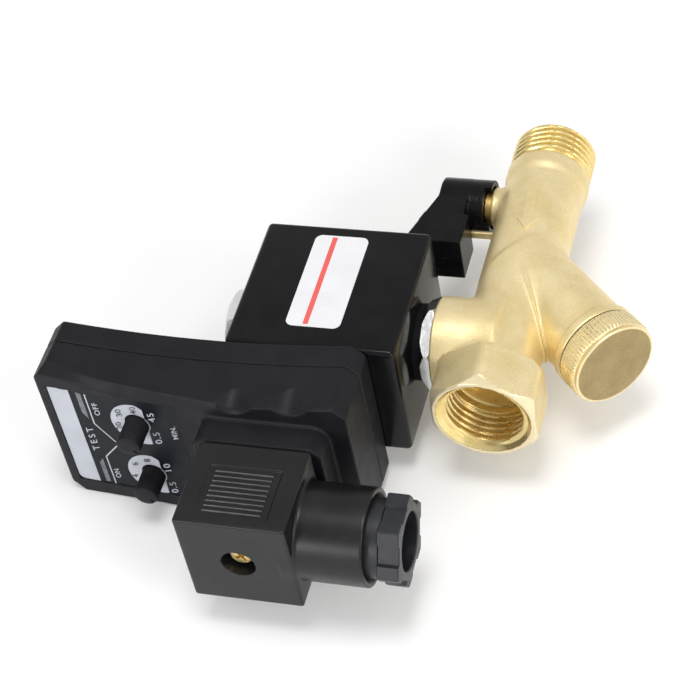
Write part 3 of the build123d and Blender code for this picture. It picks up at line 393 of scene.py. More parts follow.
def textMesh(words, length, height, spacing, thickness, weight):
    curve = bpy.data.curves.new("words", "FONT")
    curve.body = words
    curve.space_character = spacing
    curve.extrude = 0.01
    curve.offset = weight
    curve.resolution_u = 6
    points, faces = curveMesh(curve)
    low, high = points.min(0), points.max(0)
    points = (points - (low + high) / 2) / (high - low)
    return points * (length, height, thickness), faces


def arcPoints(centre, radius, start, end, count):
    angles = [math.radians(a) for a in np.linspace(start, end, count)]
    return [(centre[0] + radius * math.cos(a), centre[1] + radius * math.sin(a)) for a in angles]


def roundedOutline(low, high, corner):
    (x0, y0), (x1, y1) = low, high
    corners = (((x1 - corner, y1 - corner), 0), ((x0 + corner, y1 - corner), 90), ((x0 + corner, y0 + corner), 180),
        ((x1 - corner, y0 + corner), 270))
    return [point for centre, start in corners for point in arcPoints(centre, corner, start, start + 90, 7)]


def softBox(name, low, high, edge, finishName, stands):
    work = bmesh.new()
    low, high = np.array(low, float), np.array(high, float)
    bmesh.ops.create_cube(work, size=1)
    for vertex in work.verts:
        vertex.co = Vector((low + high) / 2 + np.array(vertex.co) * (high - low))
    bmesh.ops.bevel(
        work, geom=list(work.edges), offset=edge, segments=5, profile=0.5, affect="EDGES", clamp_overlap=True)
    points = [tuple(vertex.co) for vertex in work.verts]
    faces = [[vertex.index for vertex in face.verts] for face in work.faces]
    work.free()
    newPiece(name, points, faces, finishName, stands)


# axes and foot points of the round parts
flowAxis, portAxis, stemAxis = (0, 1, 0), (-1, 0, 0), (-1, 0, 0)
slant, hexSide = math.sqrt(0.5), 0.8660254
branchAxis = (slant, -slant, 0)
branchY, portY, stemY, barrelY = 48.0, 22.5, 70, -37
branchBase, portBase, stemBase, barrelBase = (0, branchY, 0), (0, portY, 0), (0, stemY, 0), (0, barrelY, 0)

mouth = dict(flat=12.35, lip=11.3, bore=10.5, depth=12.6)
pipeThread = dict(crest=10.48, root=9.32, pitch=1.814)
forging = dict(
    tube=10.0, tubeSpan=(2, 81.3), collar=10.65, collarStart=75.2, collarRun=2.8,
    branch=10.5, branchEnd=32, lip=11.2, lipStart=29.7, port=11.6, portEnd=15.35, boss=5.2, bossEnd=11.8,
    hexFlats=25.0, hexLength=12.7, hexCorner=14.05, hexBack=13.2, hexBackSlope=0.55,
    lugX=(-16.5, -8.5), lugY=(61.4, 62.5), lugZ=(-3.0, -0.9))
fillets = dict(branch=2.6, lip=0.7, port=2.2, hexagon=0.9, boss=1.6, lug=0.7)
flashLine = dict(width=0.42, height=0.34, endY=45, fade=6)
# bores along the flow: radius, start and end
waterway = ((4.5, 0, 24), (6.0, 46, 95), (7.8, 63.4, 95))
chambers = dict(port=9.0, portSpan=(8.9, 16), nozzle=3.0, moat=7.5, moatSpan=(6.5, 9.5), branch=8.6, branchSpan=(3, 33),
    stem=3.95, stemEnd=13)
arrow = dict(tail=66.1, tip=53.1, barbY=57.1, barb=2.65, half=1.3, height=0.5, lean=0.052)

finishes = {name: makeFinish(name, spec) for name, spec in finishSpecs.items()}
# the cap's face tones are painted shade and reflection: a dull dark brown standing in for the dim surroundings its end
# face mirrors; the rim from 10.35 mm keeps a plain brass tone
capPaintedShadeFinish = dict(finishSpecs["brass_turned"], tones=((0.38, 0.285, 0.13), (0.33, 0.24, 0.105)), metal=0.7,
    rim=(10.35, (0.90, 0.75, 0.42)))
finishes["brass_turned@cap"] = makeFinish("brass_turned", capPaintedShadeFinish, rings=(branchBase, branchAxis))
print("finishes:", len(finishes))


# forged body, outside and waterway
def forgingField(x, y, z):
    f = forging
    across, fromPort = np.hypot(x, z), np.hypot(y - portY, z)
    collar = f["tube"] + (f["collar"] - f["tube"]) * softStep((y - f["collarStart"]) / f["collarRun"])
    tube = rounded(across - collar, within(y, *f["tubeSpan"]), 0.45)
    s = (x - (y - branchY)) * slant
    fromBranch = np.hypot((x + (y - branchY)) * slant, z)
    branch = rounded(fromBranch - f["branch"], within(s, 0, f["branchEnd"]), 0.3)
    shape = joined(tube, branch, fillets["branch"])
    # flash line left in the crotch by the forging dies
    ridge = np.exp(-((tube - branch) / flashLine["width"]) ** 2)
    ridge = ridge * softStep((flashLine["endY"] - y) / flashLine["fade"]) * softStep((x - 1) / 3)
    shape = shape - flashLine["height"] * ridge
    lip = rounded(fromBranch - f["lip"], within(s, f["lipStart"], f["branchEnd"]), 0.55)
    shape = joined(shape, lip, fillets["lip"])
    port = rounded(fromPort - f["port"], within(-x, 0, f["portEnd"]), 0.55)
    shape = joined(shape, port, fillets["port"])
    prism = -joined(-hexField(x, z, f["hexFlats"]), -(across - f["hexCorner"]), 0.5)
    prism = rounded(prism, within(y, 0, f["hexLength"]), 0.4)
    mouthChamfer = (across - y - mouth["flat"]) * slant
    backSlope = (across + f["hexBackSlope"] * (y - f["hexLength"]) - f["hexBack"]) / 1.14
    shape = joined(shape, overlap(prism, mouthChamfer, backSlope), fillets["hexagon"])
    boss = rodField(x, y, z, stemBase, stemAxis, f["boss"], 0, f["bossEnd"], 0.4)
    shape = joined(shape, boss, fillets["boss"])
    lug = rounded(rounded(within(y, *f["lugY"]), within(z, *f["lugZ"]), 0.3), within(x, *f["lugX"]), 0.3)
    shape = joined(shape, lug, fillets["lug"])
    c = chambers
    bores = [np.maximum(across - mouth["lip"], y - mouth["depth"] - 0.5)]
    bores += [np.maximum(across - radius, within(y, start, end)) for radius, start, end in waterway]
    bores += [np.maximum(fromPort - c["port"], within(-x, *c["portSpan"]))]
    bores += [overlap(fromPort - c["moat"], c["nozzle"] - fromPort, within(-x, *c["moatSpan"]))]
    bores += [np.maximum(fromBranch - c["branch"], within(s, *c["branchSpan"]))]
    bores += [np.maximum(np.hypot(y - stemY, z) - c["stem"], within(-x, 0, c["stemEnd"]))]
    return np.maximum(shape, -either(*bores))


netted("forgedBody", forgingField, (-17.5, -0.9, -15.2), (33.5, 82.2, 15.2), 0.36, "brass_forged", ("valve_body",))


# flow arrow standing proud on top
def flowArrowField(x, y, z):
    across = x + arrow["lean"] * (y - 59)
    shaft = np.maximum(np.abs(across) - arrow["half"], within(y, arrow["barbY"] - 0.3, arrow["tail"]))
    lean = arrow["barb"] / (arrow["barbY"] - arrow["tip"])
    head = np.maximum((np.abs(across) - (y - arrow["tip"]) * lean) / math.hypot(1, lean), y - arrow["barbY"])
    return rounded(np.minimum(shaft, head), within(np.hypot(x, z), 9.7, forging["tube"] + arrow["height"]), 0.16)


netted("flowArrow", flowArrowField, (-3.6, 52.6, 8.6), (3.6, 66.7, 10.9), 0.13, "brass_forged")


# pipe threads, as one helix each
middleRadius = (pipeThread["crest"] + pipeThread["root"]) / 2
halfDepth = (pipeThread["crest"] - pipeThread["root"]) / 2
threadSegments = 160


def threadRings(low, high, fadeIn, fadeOut):
    rings = []
    for y in np.arange(low, high + 1e-6, pipeThread["pitch"] / 12):
        phase = (y / pipeThread["pitch"] - circleAngles(threadSegments) / (2 * np.pi)) % 1
        wave = softStep((np.abs(2 * phase - 1) - 0.14) / 0.72) * 2 - 1
        strength = softStep((y - low) / fadeIn) * softStep((high - y) / fadeOut)
        rings.append((y, middleRadius + halfDepth * strength * wave))
    return rings


outlet = dict(
    start=1.0, end=11.3, back=(
        (11.5, 9.75), (12.5, 9.75), (12.9, 9.2), (12.95, 4.5), (14.0, 4.48), (14.0, 4.9), (13.0, 4.9), (13.0, 11.28),
        (0.1, 11.29)))
rings = [(0.0, mouth["lip"] + 0.02), (0.12, mouth["lip"] - 0.12), (0.95, mouth["bore"] + 0.02)]
for y, radius in threadRings(outlet["start"], outlet["end"], 0.5, 1.6):
    limit = mouth["bore"] + 0.02 if y > 1.3 else mouth["bore"]
    rings.append((y, np.minimum(radius + (0.55 if y < 1.2 else 0) * (1.2 - y) / 0.2, limit)))
rings += outlet["back"]
turned("outletThread", (0, 0, 0), flowAxis, rings, threadSegments, "brass_turned", closed=True, crease=50)

inlet = dict(
    start=81.8, fadeEnd=92.1, end=92.184, bore=7.85, neck=((80.6, 9.2), (81.25, 9.2), (81.3, 9.6), (81.75, 9.55)))
rings = list(inlet["neck"])
for y, radius in threadRings(inlet["start"], inlet["fadeEnd"], 1.6, 0.6):
    rings.append((y, np.minimum(radius, 9.5 + (inlet["end"] - y) * 0.9)))
rings += [(inlet["end"], 9.3), (inlet["end"], 8.3), (91.8, inlet["bore"]), (80.6, inlet["bore"])]
turned("inletThread", (0, 0, 0), flowAxis, rings, threadSegments, "brass_turned", closed=True, crease=50)
print("threads")


# strainer cap with its knurl
cap = dict(teeth=72, knurl=11.3, depth=0.32, start=31.96, end=37.9, disc=10.9, face=38.9, thread=8.45, threadDepth=0.25,
    shoulder=11.05)
segments = cap["teeth"] * 8
wave = 0.5 - 0.5 * np.cos(cap["teeth"] * circleAngles(segments))
knurl = cap["knurl"] - cap["depth"] * wave ** 1.4
knurlEdge = np.minimum(knurl, cap["shoulder"])
start, end, disc, face = cap["start"], cap["end"], cap["disc"], cap["face"]
rings = [(26.5, 8.0), (27.0, cap["thread"])]
rings += [(s, cap["thread"] - cap["threadDepth"] * (i % 2)) for i, s in enumerate(np.arange(27.4, 32.0, 0.6))]
rings += [(31.9, 8.2), (31.93, 10.4), (start + 0.02, 10.8), (start + 0.35, knurlEdge), (start + 0.6, knurl)]
rings += [(end - 0.55, knurl), (end - 0.25, knurlEdge), (end - 0.02, 10.75)]
rings += [(end, 10.5), (end + 0.28, 10.45), (end + 0.3, 10.85)]  # groove between knurl and disc
rings += [(face - 0.18, disc), (face - 0.03, disc - 0.14), (face, disc - 0.3), (face, 6.0), (face - 0.02, 0.9),
    (face - 0.12, 0.15)]
# the cap's face carries painted shade from its finish
turned("strainerCap", branchBase, branchAxis, rings, segments, "brass_turned@cap", ("strainer_cap",), "cap_unit")


# lever of the ball valve: hub, cranked blade, skirt over the stem and a driving square
handle = dict(
    hub=7.0, hubSpan=(13.6, 25.0), top=25.0, shoulder=17.5, reach=58, slope=5.7 / 17.0, bendY=67.5, halfWidth=6.5,
    tip=(50.5, 60.7), tipFloor=16.0, skirt=(5.5, 7.0), skirtSpan=(11.95, 14.0), skirtCut=13.6,
    gate=(-14.7, 66.3, 6.4), gateRadius=0.55, screwHead=3.4, screwSeat=23.2, square=1.85, squareSpan=(14.0, 22.2))


def handleField(x, y, z):
    h = handle
    hub = rodField(x, y, z, stemBase, stemAxis, h["hub"], *h["hubSpan"], 0.45)
    back = (-h["top"] - x - (h["bendY"] - y) * h["slope"]) / math.hypot(1, h["slope"])
    upper = np.maximum(within(x, -h["top"], -h["shoulder"]), within(y, h["reach"], stemY))
    lower = overlap(back, x + h["tipFloor"], within(y, *h["tip"]))
    middle = overlap(back, x + h["shoulder"], within(y, h["reach"], h["bendY"]))
    blade = joined(joined(upper, lower, 0.25), middle, 0.6)
    blade = rounded(blade, np.abs(z) - h["halfWidth"], 0.6)
    crown = rodField(x, y, z, stemBase, stemAxis, h["hub"], h["shoulder"], h["top"], 0.45)
    crown = np.maximum(crown, np.abs(z) - h["hub"])
    shape = joined(joined(hub, blade, 0.35), crown, 0.2)
    across = np.hypot(y - stemY, z)
    skirt = rounded(np.maximum(across - h["skirt"][1], h["skirt"][0] - across), within(-x, *h["skirtSpan"]), 0.2)
    skirt = np.maximum(skirt, -overlap(y - stemY, -z, -x - h["skirtCut"]))
    shape = joined(shape, skirt, 0.2)
    gx, gy, gz = h["gate"]
    gate = np.sqrt((x - gx) ** 2 + (y - gy) ** 2 + (z - gz) ** 2) - h["gateRadius"]
    screwHole = rodField(x, y, z, stemBase, stemAxis, h["screwHead"], h["screwSeat"], 35, 0.1)
    square = np.maximum(np.maximum(np.abs(y - stemY), np.abs(z)) - h["square"], within(-x, *h["squareSpan"]))
    return np.maximum(shape, -either(gate, screwHole, square))


netted("handleLever", handleField, (-31.5, 49.7, -7.9), (-11.2, 78.0, 7.9), 0.26, "handle_black", ("handle",),
    "ball_drive")
print("handle")


# timer housing; bevel tables go along x
timer = dict(left=-104.5, right=-26.2, top=19.8, bottom=-25.1, corner=3.0, waistTop=2.2, waistBottom=0.6,
             rear=2.05, seam=-4.6, leftFront=13.94, front=17.83, crease=-57.5, wall=2.0)
slopeRate = (timer["front"] - timer["leftFront"]) / (timer["crease"] - timer["left"])
bevelDepth = ((-104.5, 3.3), (-101.7, 2.97), (-86.6, 1.32), (-57.6, 0.8), (-30, 0.5))
bevelDrop = ((-104.5, 1.5), (-102, 1.7), (-87, 2.6), (-82, 3.3), (-74.6, 3.6), (-67, 3.9), (-57.5, 1.2), (-50, 0.5),
    (-43.9, 0.12), (-30, 0.4))
scoops = ((-53.1, -12.2), (-39.4, -11.2))  # middle x, and y where each one runs out
scoop = dict(half=4.6, spread=0.45, depth=2.1)
pedestal = dict(x=-46.72, halfLength=15.6, halfHeight=13.2, corner=3.6, front=24.9)
dialX, dials = -80, (("delay", 5.3), ("discharge", -13.3))
openings = dict(
    panelX=(-102.0, -68.6), panelZ=(-20.5, 13.85), panelDepth=0.55, floor=8, shaft=3.6,
    buttonX=(-95.6, -88.0), buttonZ=(-10.6, 2.9), lampX=(-94.6, -92.6), offLampZ=(4.6, 13.2), onLampZ=(-19.9, -11.0))
posts = ((-99.6, 14.6), (-99.6, -20.0), (-30.9, 16.0), (-30.9, -20.0))
rearCuts = dict(post=3.2, screwHead=2.7, screwSeat=0.3, screw=1.3, seatX=(-57.4, -30.4), seatZ=13.2, seatY=1.3,
    plugX=(-55.5, -32.3), plugZ=(-11.5, 6))


def frontDepth(x):
    return timer["leftFront"] + slopeRate * (x - timer["left"])


def timerLevels(x, y, inset=0.0):
    t = timer
    share = np.clip((2 * x - t["left"] - t["right"]) / (t["right"] - t["left"] - 2 * t["corner"]), -1, 1)
    top = t["top"] - t["waistTop"] * (1 - share ** 2)
    for centre, apex in scoops:
        reach = np.clip((apex - y) / (apex + t["front"]), 0, 1.15)
        across = (x - centre) / (scoop["half"] * np.maximum(reach, 0.001) ** scoop["spread"])
        top = top - scoop["depth"] * reach ** 0.8 * np.clip(1 - across ** 2, 0, 1) * (inset == 0)
    return top - inset, t["bottom"] + t["waistBottom"] * (1 - share ** 2) + inset


def timerOutline(x, y, z, inset=0.0, edge=0.35):
    t = timer
    top, bottom = timerLevels(x, y, inset)
    sides = np.abs(x - (t["left"] + t["right"]) / 2) - (t["right"] - t["left"]) / 2 + inset
    shape = rounded(sides, np.maximum(z - top, bottom - z), edge)
    upper = (sides + z - t["top"] + t["corner"] + 0.6 * inset) * slant
    lower = (sides + t["bottom"] - z + t["corner"] + 0.6 * inset) * slant
    return -joined(-shape, -np.maximum(upper, lower), 0.4)


def timerFrontFace(x, y, inset=0.0):
    sloped = (-y - frontDepth(x)) / math.hypot(1, slopeRate) + inset
    return np.maximum(sloped, -y - timer["front"] + inset)


def pedestalField(x, y, z, inset=0.0):
    p = pedestal
    dx = np.abs(x - p["x"]) - p["halfLength"] + inset
    dz = np.abs(z) - p["halfHeight"] + inset
    ring = rounded(dx, dz, p["corner"] - inset * 0.6)
    return rounded(ring, within(-y, 10, p["front"] - inset), 0.7 if inset == 0 else 0.2)


def timerFrontField(x, y, z):
    t = timer
    face = timerFrontFace(x, y)
    shape = rounded(rounded(timerOutline(x, y, z), face, 0.3), y - t["seam"] + 0.06, 0.2)
    top = timerLevels(x, y)[0]
    depth = np.interp(x, *zip(*bevelDepth))
    drop = np.interp(x, *zip(*bevelDrop))
    front = np.minimum(frontDepth(x), t["front"])
    bevel = ((-y - front + depth) / depth + (z - top + drop) / drop - 1) / np.sqrt(1 / depth ** 2 + 1 / drop ** 2)
    shape = -joined(-shape, -bevel, 0.25)
    shape = joined(shape, pedestalField(x, y, z), 0.9)
    o = openings
    panel = overlap(within(x, *o["panelX"]), within(z, *o["panelZ"]), -(face + o["panelDepth"]))
    inner = np.maximum(timerOutline(x, y, z, t["wall"], 0.1), timerFrontFace(x, y, t["wall"]))
    inner = np.minimum(inner, pedestalField(x, y, z, t["wall"]))
    shafts = either(*[np.hypot(x - dialX, z - dialZ) for name, dialZ in dials]) - o["shaft"]
    button = np.maximum(within(x, *o["buttonX"]), within(z, *o["buttonZ"]))
    lamps = np.maximum(within(x, *o["lampX"]), np.minimum(within(z, *o["offLampZ"]), within(z, *o["onLampZ"])))
    cuts = np.maximum(either(shafts, button, lamps), y + o["floor"])
    return np.maximum(shape, -either(panel, inner, cuts))


netted("timerFront", timerFrontField, (-105.4, -26.0, -26.0), (-25.3, -3.7, 20.8), 0.4, "timer_black",
    ("timer_front_housing",))


def timerRearField(x, y, z):
    t, r = timer, rearCuts
    shape = rounded(timerOutline(x, y, z), within(y, t["seam"] + 0.06, t["rear"]), 0.5)
    cuts = np.maximum(timerOutline(x, y, z, t["wall"], 0.1), y - 0.05)
    for postX, postZ in posts:
        across = np.hypot(x - postX, z - postZ)
        cuts = np.maximum(cuts, -np.maximum(across - r["post"], y - t["rear"]))
        cuts = either(cuts, np.maximum(across - r["screwHead"], -r["screwSeat"] - y), across - r["screw"])
    seat = overlap(within(x, *r["seatX"]), np.abs(z) - r["seatZ"], r["seatY"] - y)
    plug = overlap(within(x, *r["plugX"]), within(z, *r["plugZ"]), -y - 1)
    return np.maximum(shape, -either(cuts, seat, plug))


netted("timerRear", timerRearField, (-105.4, -5.4, -26.0), (-25.3, 2.9, 20.8), 0.4, "timer_black",
    ("timer_rear_housing",))
print("timer housing")


# control panel on the sloped front
tilt = math.hypot(1, slopeRate)
lettering = dict(bold=0.03, plain=0.006, shear=0.4, thickness=0.03, lift=0.275)


def ontoPanel(points, lift):
    x, z = points[:, 0], points[:, 1]
    w = points[:, 2] + lift - openings["panelDepth"]
    return np.stack([x - w * slopeRate / tilt, -frontDepth(x) - w / tilt, z], 1)


def panelPiece(name, outlines, thickness, lift, finishName, stands=(), body=mainBody):
    points, faces = flatMesh(outlines, thickness)
    newPiece(name, ontoPanel(points, lift + thickness / 2), faces, finishName, stands, body)


def panelWords(name, words, x, z, length, height, spacing, finishName):
    weight = lettering["bold"] if finishName == "panel_black" else lettering["plain"]
    points, faces = textMesh(words, length, height, spacing, lettering["thickness"], weight)
    points = np.stack([x - points[:, 1], z + points[:, 0] - lettering["shear"] * points[:, 1], points[:, 2]], 1)
    newPiece(name, ontoPanel(points, lettering["lift"]), [face[::-1] for face in faces], finishName)


def stripe(line, width):
    # outline of a line of given width through its points
    line = np.array(line, float)
    left, right = [], []
    for i, point in enumerate(line):
        near = line[max(i - 1, 0)], line[min(i + 1, len(line) - 1)]
        steps = [d / np.linalg.norm(d) for d in (point - near[0], near[1] - point) if np.linalg.norm(d) > 0]
        normals = [np.array((-d[1], d[0])) for d in steps]
        normal = sum(normals)
        normal = normal / np.linalg.norm(normal)
        half = width / 2 / abs(normal @ normals[0])
        left.append(tuple(point + normal * half))
        right.append(tuple(point - normal * half))
    return left + right[::-1]


panel = dict(
    left=-101.95, right=-68.65, top=13.8, bottom=-20.45, plateEdge=-96.35, plateCorner=1.6, foil=0.25,
    offWindow=((-94.6, 13.3), (-93.2, 13.0), (-93.2, 3.8), (-94.6, 5.8)),
    onWindow=((-94.75, -12.8), (-93.45, -11.0), (-93.45, -20.2), (-94.75, -20.2)),
    offLine=((-92.13, 13.1), (-92.15, 2.45), (-87.95, -3.35)),
    onLine=((-88.0, -4.85), (-92.15, -9.8), (-92.15, -20.35)),
    button=((-96.0, -10.4), (-92.3, -10.4), (-92.3, -9.5), (-88.2, -4.3), (-92.3, 2.3), (-92.3, 2.7), (-96.0, 2.7)))


def grown(outline, amount):
    centre = np.mean(outline, 0)
    return [tuple(point + amount * np.sign(point - centre)) for point in np.array(outline)]


left, right, top, bottom = (panel[side] for side in ("left", "right", "top", "bottom"))
edge, corner, foil = panel["plateEdge"], panel["plateCorner"], panel["foil"]
plateOutline = [(left, top), (left, bottom + corner)]
plateOutline += arcPoints((left + corner, bottom + corner), corner, 180, 270, 7)[1:] + [(edge, bottom), (edge, top)]
panelPiece("plainPlate", [plateOutline], foil, 0.02, "nameplate_grey", ("timer_nameplate",))
foilOutline = [(edge + 0.02, top), (edge + 0.02, bottom), (right, bottom), (right, top)]
holes = [arcPoints((dialX, z), 3.25, 0, 352.5, 48) for name, z in dials]
holes += [list(panel["offWindow"]), list(panel["onWindow"]), grown(panel["button"], 0.05)]
panelPiece("panelFoil", [foilOutline] + holes, foil, 0, "panel_black", ("timer_label",))
panelPiece("testButton", [list(panel["button"])], 1.6, -1.36, "panel_black", ("test_button",), body="test_key")
for name in ("off", "on"):
    panelPiece(name + "Window", [list(panel[name + "Window"])], 1.0, -0.8, "window_smoke", (name + "_lamp_window",))
ink = dict(thickness=0.03, lift=0.26, lineWidth=0.34)
for name in ("off", "on"):
    line = stripe(panel[name + "Line"], ink["lineWidth"])
    panelPiece(name + "Line", [line], ink["thickness"], ink["lift"], "nameplate_grey")
# white scale round each knob, cut straight beside the printed numbers
scale = dict(radius=7.0, drop=0.3, hole=3.3, arc=(84, 290), cutX=-77.65, cutTop=5.5, cutBottom=-6.9)
for name, z in dials:
    outline = arcPoints((dialX, z - scale["drop"]), scale["radius"], *scale["arc"], 60)
    outline = [(scale["cutX"], z + scale["cutTop"]), *outline, (scale["cutX"], z + scale["cutBottom"])]
    hole = arcPoints((dialX, z), scale["hole"], 352.5, 0, 48)
    panelPiece(name + "Scale", [outline, hole], ink["thickness"], ink["lift"], "nameplate_grey")
# words, middle x and z, length, height and letter spacing
printing = {
    "nameplate_grey": (
        ("OFF", -90.27, 8.2, 4.5, 1.5, 1.1), ("TEST", -94.15, -3.7, 8.5, 1.95, 1.5),
        ("ON", -90.65, -16.0, 3.3, 1.5, 1.1),
        ("45", -75.75, 8.5, 3.2, 1.9, 1.15), ("0.5", -75.8, 1.05, 4.1, 1.9, 1.15), ("MIN.", -70.75, 4.2, 4.6, 1.5, 1.1),
        ("10", -75.85, -10.0, 2.8, 1.9, 1.15), ("0.5", -75.85, -17.65, 4.1, 1.9, 1.15)),
    "panel_black": (
        ("20", -85.45, 3.3, 2.7, 1.8, 1.0), ("30", -84.35, 8.25, 2.7, 1.8, 1.0), ("40", -80.15, 10.05, 2.7, 1.8, 1.0),
        ("4", -85.7, -15.7, 1.3, 1.85, 1.0), ("6", -84.6, -10.8, 1.3, 1.85, 1.0), ("8", -80.9, -8.55, 1.3, 1.85, 1.0)),
}
allWords = [(*row, finishName) for finishName, rows in printing.items() for row in rows]
for index, row in enumerate(allWords):
    panelWords("printing%02d" % index, *row)

# knobs, knurled, with a pointer notch
knob = dict(radius=3.0, depth=0.1, teeth=44, top=22.9, bottom=14.3, notch=(1.5, 3.4), notchWidth=0.5, notchDepth=0.8,
    turn=-48)
for name, z in dials:
    segments = knob["teeth"] * 6
    tooth = knob["radius"] - knob["depth"] * (0.5 - 0.5 * np.cos(knob["teeth"] * circleAngles(segments)))
    bottom, top = knob["bottom"], knob["top"]
    flank = [(bottom, 1.52), (bottom, 2.7), (bottom + 0.2, tooth)]
    flank += [(top - 0.25, tooth), (top - 0.06, np.minimum(tooth, 2.86)), (top, 2.72), (top, 1.0)]
    points, faces = turnedMesh((dialX, 0, z), (0, -1, 0), flank, segments)
    piece = newPiece(name + "Knob", points, faces, "timer_black", (name + "_knob",), name + "_control")
    low, high = knob["notch"]
    a = math.radians(knob["turn"])
    work = bmesh.new()
    bmesh.ops.create_cube(work, size=1)
    for vertex in work.verts:
        u = low + (vertex.co.x + 0.5) * (high - low)
        v = vertex.co.y * knob["notchWidth"]
        w = -top + knob["notchDepth"] - (vertex.co.z + 0.5) * 3
        vertex.co = Vector((dialX + u * math.cos(a) - v * math.sin(a), w, z + u * math.sin(a) + v * math.cos(a))) * mm
    cutter = bpy.data.meshes.new("notch")
    bmesh.ops.recalc_face_normals(work, faces=work.faces)
    work.to_mesh(cutter)
    work.free()
    tool = bpy.data.objects.new("notch", cutter)
    bpy.context.scene.collection.objects.link(tool)
    modifier = piece.modifiers.new("notch", "BOOLEAN")
    modifier.operation, modifier.object, modifier.solver = "DIFFERENCE", tool, "EXACT"
    bpy.context.view_layer.update()
    result = bpy.data.meshes.new_from_object(piece.evaluated_get(bpy.context.evaluated_depsgraph_get()))
    piece.modifiers.clear()
    piece.data = result
    result.set_sharp_from_angle(angle=math.radians(38))
    bpy.data.objects.remove(tool)
print("panel")


# coil with its label, guide tube and nut
coil = dict(start=-19.9, end=-61.6, near=2.35, far=42.65, half=17.4, edge=1.4)
low, high = (coil["end"], coil["near"], -coil["half"]), (coil["start"], coil["far"], coil["half"])
softBox("coilCase", low, high, coil["edge"], "coil_black", ("coil_case",))
label = dict(left=-48.1, right=-34.6, near=8.8, far=39.0, corner=1.8, paper=0.1, stripe=(-43.8, -42.5),
    stripeY=(9.5, 38.4), ink=0.02)
low, high = (label["left"], label["near"]), (label["right"], label["far"])
points, faces = flatMesh([roundedOutline(low, high, label["corner"])], label["paper"])
newPiece("coilLabel", points + (0, 0, coil["half"] + 0.05), faces, "label_white", ("coil_label",))
(x0, x1), (y0, y1) = label["stripe"], label["stripeY"]
points, faces = flatMesh([[(x0, y0), (x1, y0), (x1, y1), (x0, y1)]], label["ink"])
newPiece("labelStripe", points + (0, 0, coil["half"] + 0.115), faces, "label_red")

# hexagon of the core tube, chamfered at both ends
coreHex = dict(flats=20.0, start=15.36, end=18.1, endRadius=10.15, startRadius=11.0, bore=6.3)


def coreHexField(x, y, z):
    c = coreHex
    across = np.hypot(y - portY, z)
    prism = rounded(hexField(y - portY, z, c["flats"]), within(-x, c["start"], c["end"]), 0.12)
    outer = (across - c["endRadius"] - (c["end"] + x)) * slant
    inner = (across - c["startRadius"] - (-x - c["start"])) * slant
    return overlap(prism, outer, inner, c["bore"] - across)


netted("coreHexagon", coreHexField, (-18.6, 10.2, -12.0), (-14.9, 34.8, 12.0), 0.2, "stainless", ("core_tube",))
rings = [(17.9, 6.6), (60.0, 6.6), (60.0, 6.05), (10.5, 6.05), (10.5, 8.97), (15.35, 8.97), (15.38, 6.6)]
turned("coreTube", portBase, portAxis, rings, 96, "stainless", ("core_tube",), closed=True, crease=30)
nut = dict(flats=17.0, cornerShare=0.97, start=61.6, end=67.7, bore=4.1)
segments = 240
angle = (circleAngles(segments) + math.pi / 6) % (math.pi / 3) - math.pi / 6
hexagon = np.minimum(nut["flats"] / 2 / np.cos(angle), nut["flats"] / math.sqrt(3) * nut["cornerShare"])
start, end, bore = nut["start"], nut["end"], nut["bore"]
rings = [(start, bore), (start, np.minimum(hexagon, 9.0)), (61.95, hexagon), (66.3, hexagon),
    (67.0, np.minimum(hexagon, 9.0))]
rings += [(67.5, np.minimum(hexagon, 8.3)), (end, 7.9), (end, 4.6), (67.2, bore)]
turned("coilNut", portBase, portAxis, rings, segments, "nut_pale", ("coil_nut",), closed=True, crease=24)
print("coil")


# cable connector
connector = dict(
    x=-46.02, half=13.2, halfHeight=13.9, rear=25.47, front=48.6, wall=1.8,
    barrel=11.4, barrelStart=-36, barrelEnd=-16.84, bore=9.25, boreStart=-32, mouth=10.3, mouthDepth=2.6,
    recess=4.0, recessFloor=42.5, screwHole=1.6, column=5.4,
    gripX=-46.3, gripHalf=8.7, gripY=(32.0, 46.0), gripDepth=0.25)


def connectorField(x, y, z):
    c = connector
    fromX, across = np.abs(x - c["x"]), np.hypot(y - barrelY, z)
    sides = rounded(fromX - c["half"], np.abs(z) - c["halfHeight"], 0.7)
    shape = rounded(sides, within(-y, c["rear"], c["front"]), 0.6)
    barrel = rounded(across - c["barrel"], within(x, c["barrelStart"], c["barrelEnd"]), 0.35)
    shape = joined(shape, barrel, 1.0)
    grip = rounded(np.abs(x - c["gripX"]) - c["gripHalf"], within(-y, *c["gripY"]), 0.4)
    grip = np.maximum(grip, c["halfHeight"] - c["gripDepth"] - z)
    bore = np.maximum(across - c["bore"], c["boreStart"] - x)
    flare = np.maximum(across - c["mouth"] - (x - c["barrelEnd"]) * 0.6, c["barrelEnd"] - c["mouthDepth"] - x)
    fromScrew = np.hypot(x - c["x"], z)
    recess = np.maximum(fromScrew - c["recess"], y + c["recessFloor"])
    hollow = overlap(fromX - c["half"], np.abs(z) - c["halfHeight"], -y - c["front"]) + c["wall"]
    inner = np.maximum(hollow, c["column"] - fromScrew)
    return np.maximum(shape, -either(grip, bore, flare, recess, fromScrew - c["screwHole"], inner))


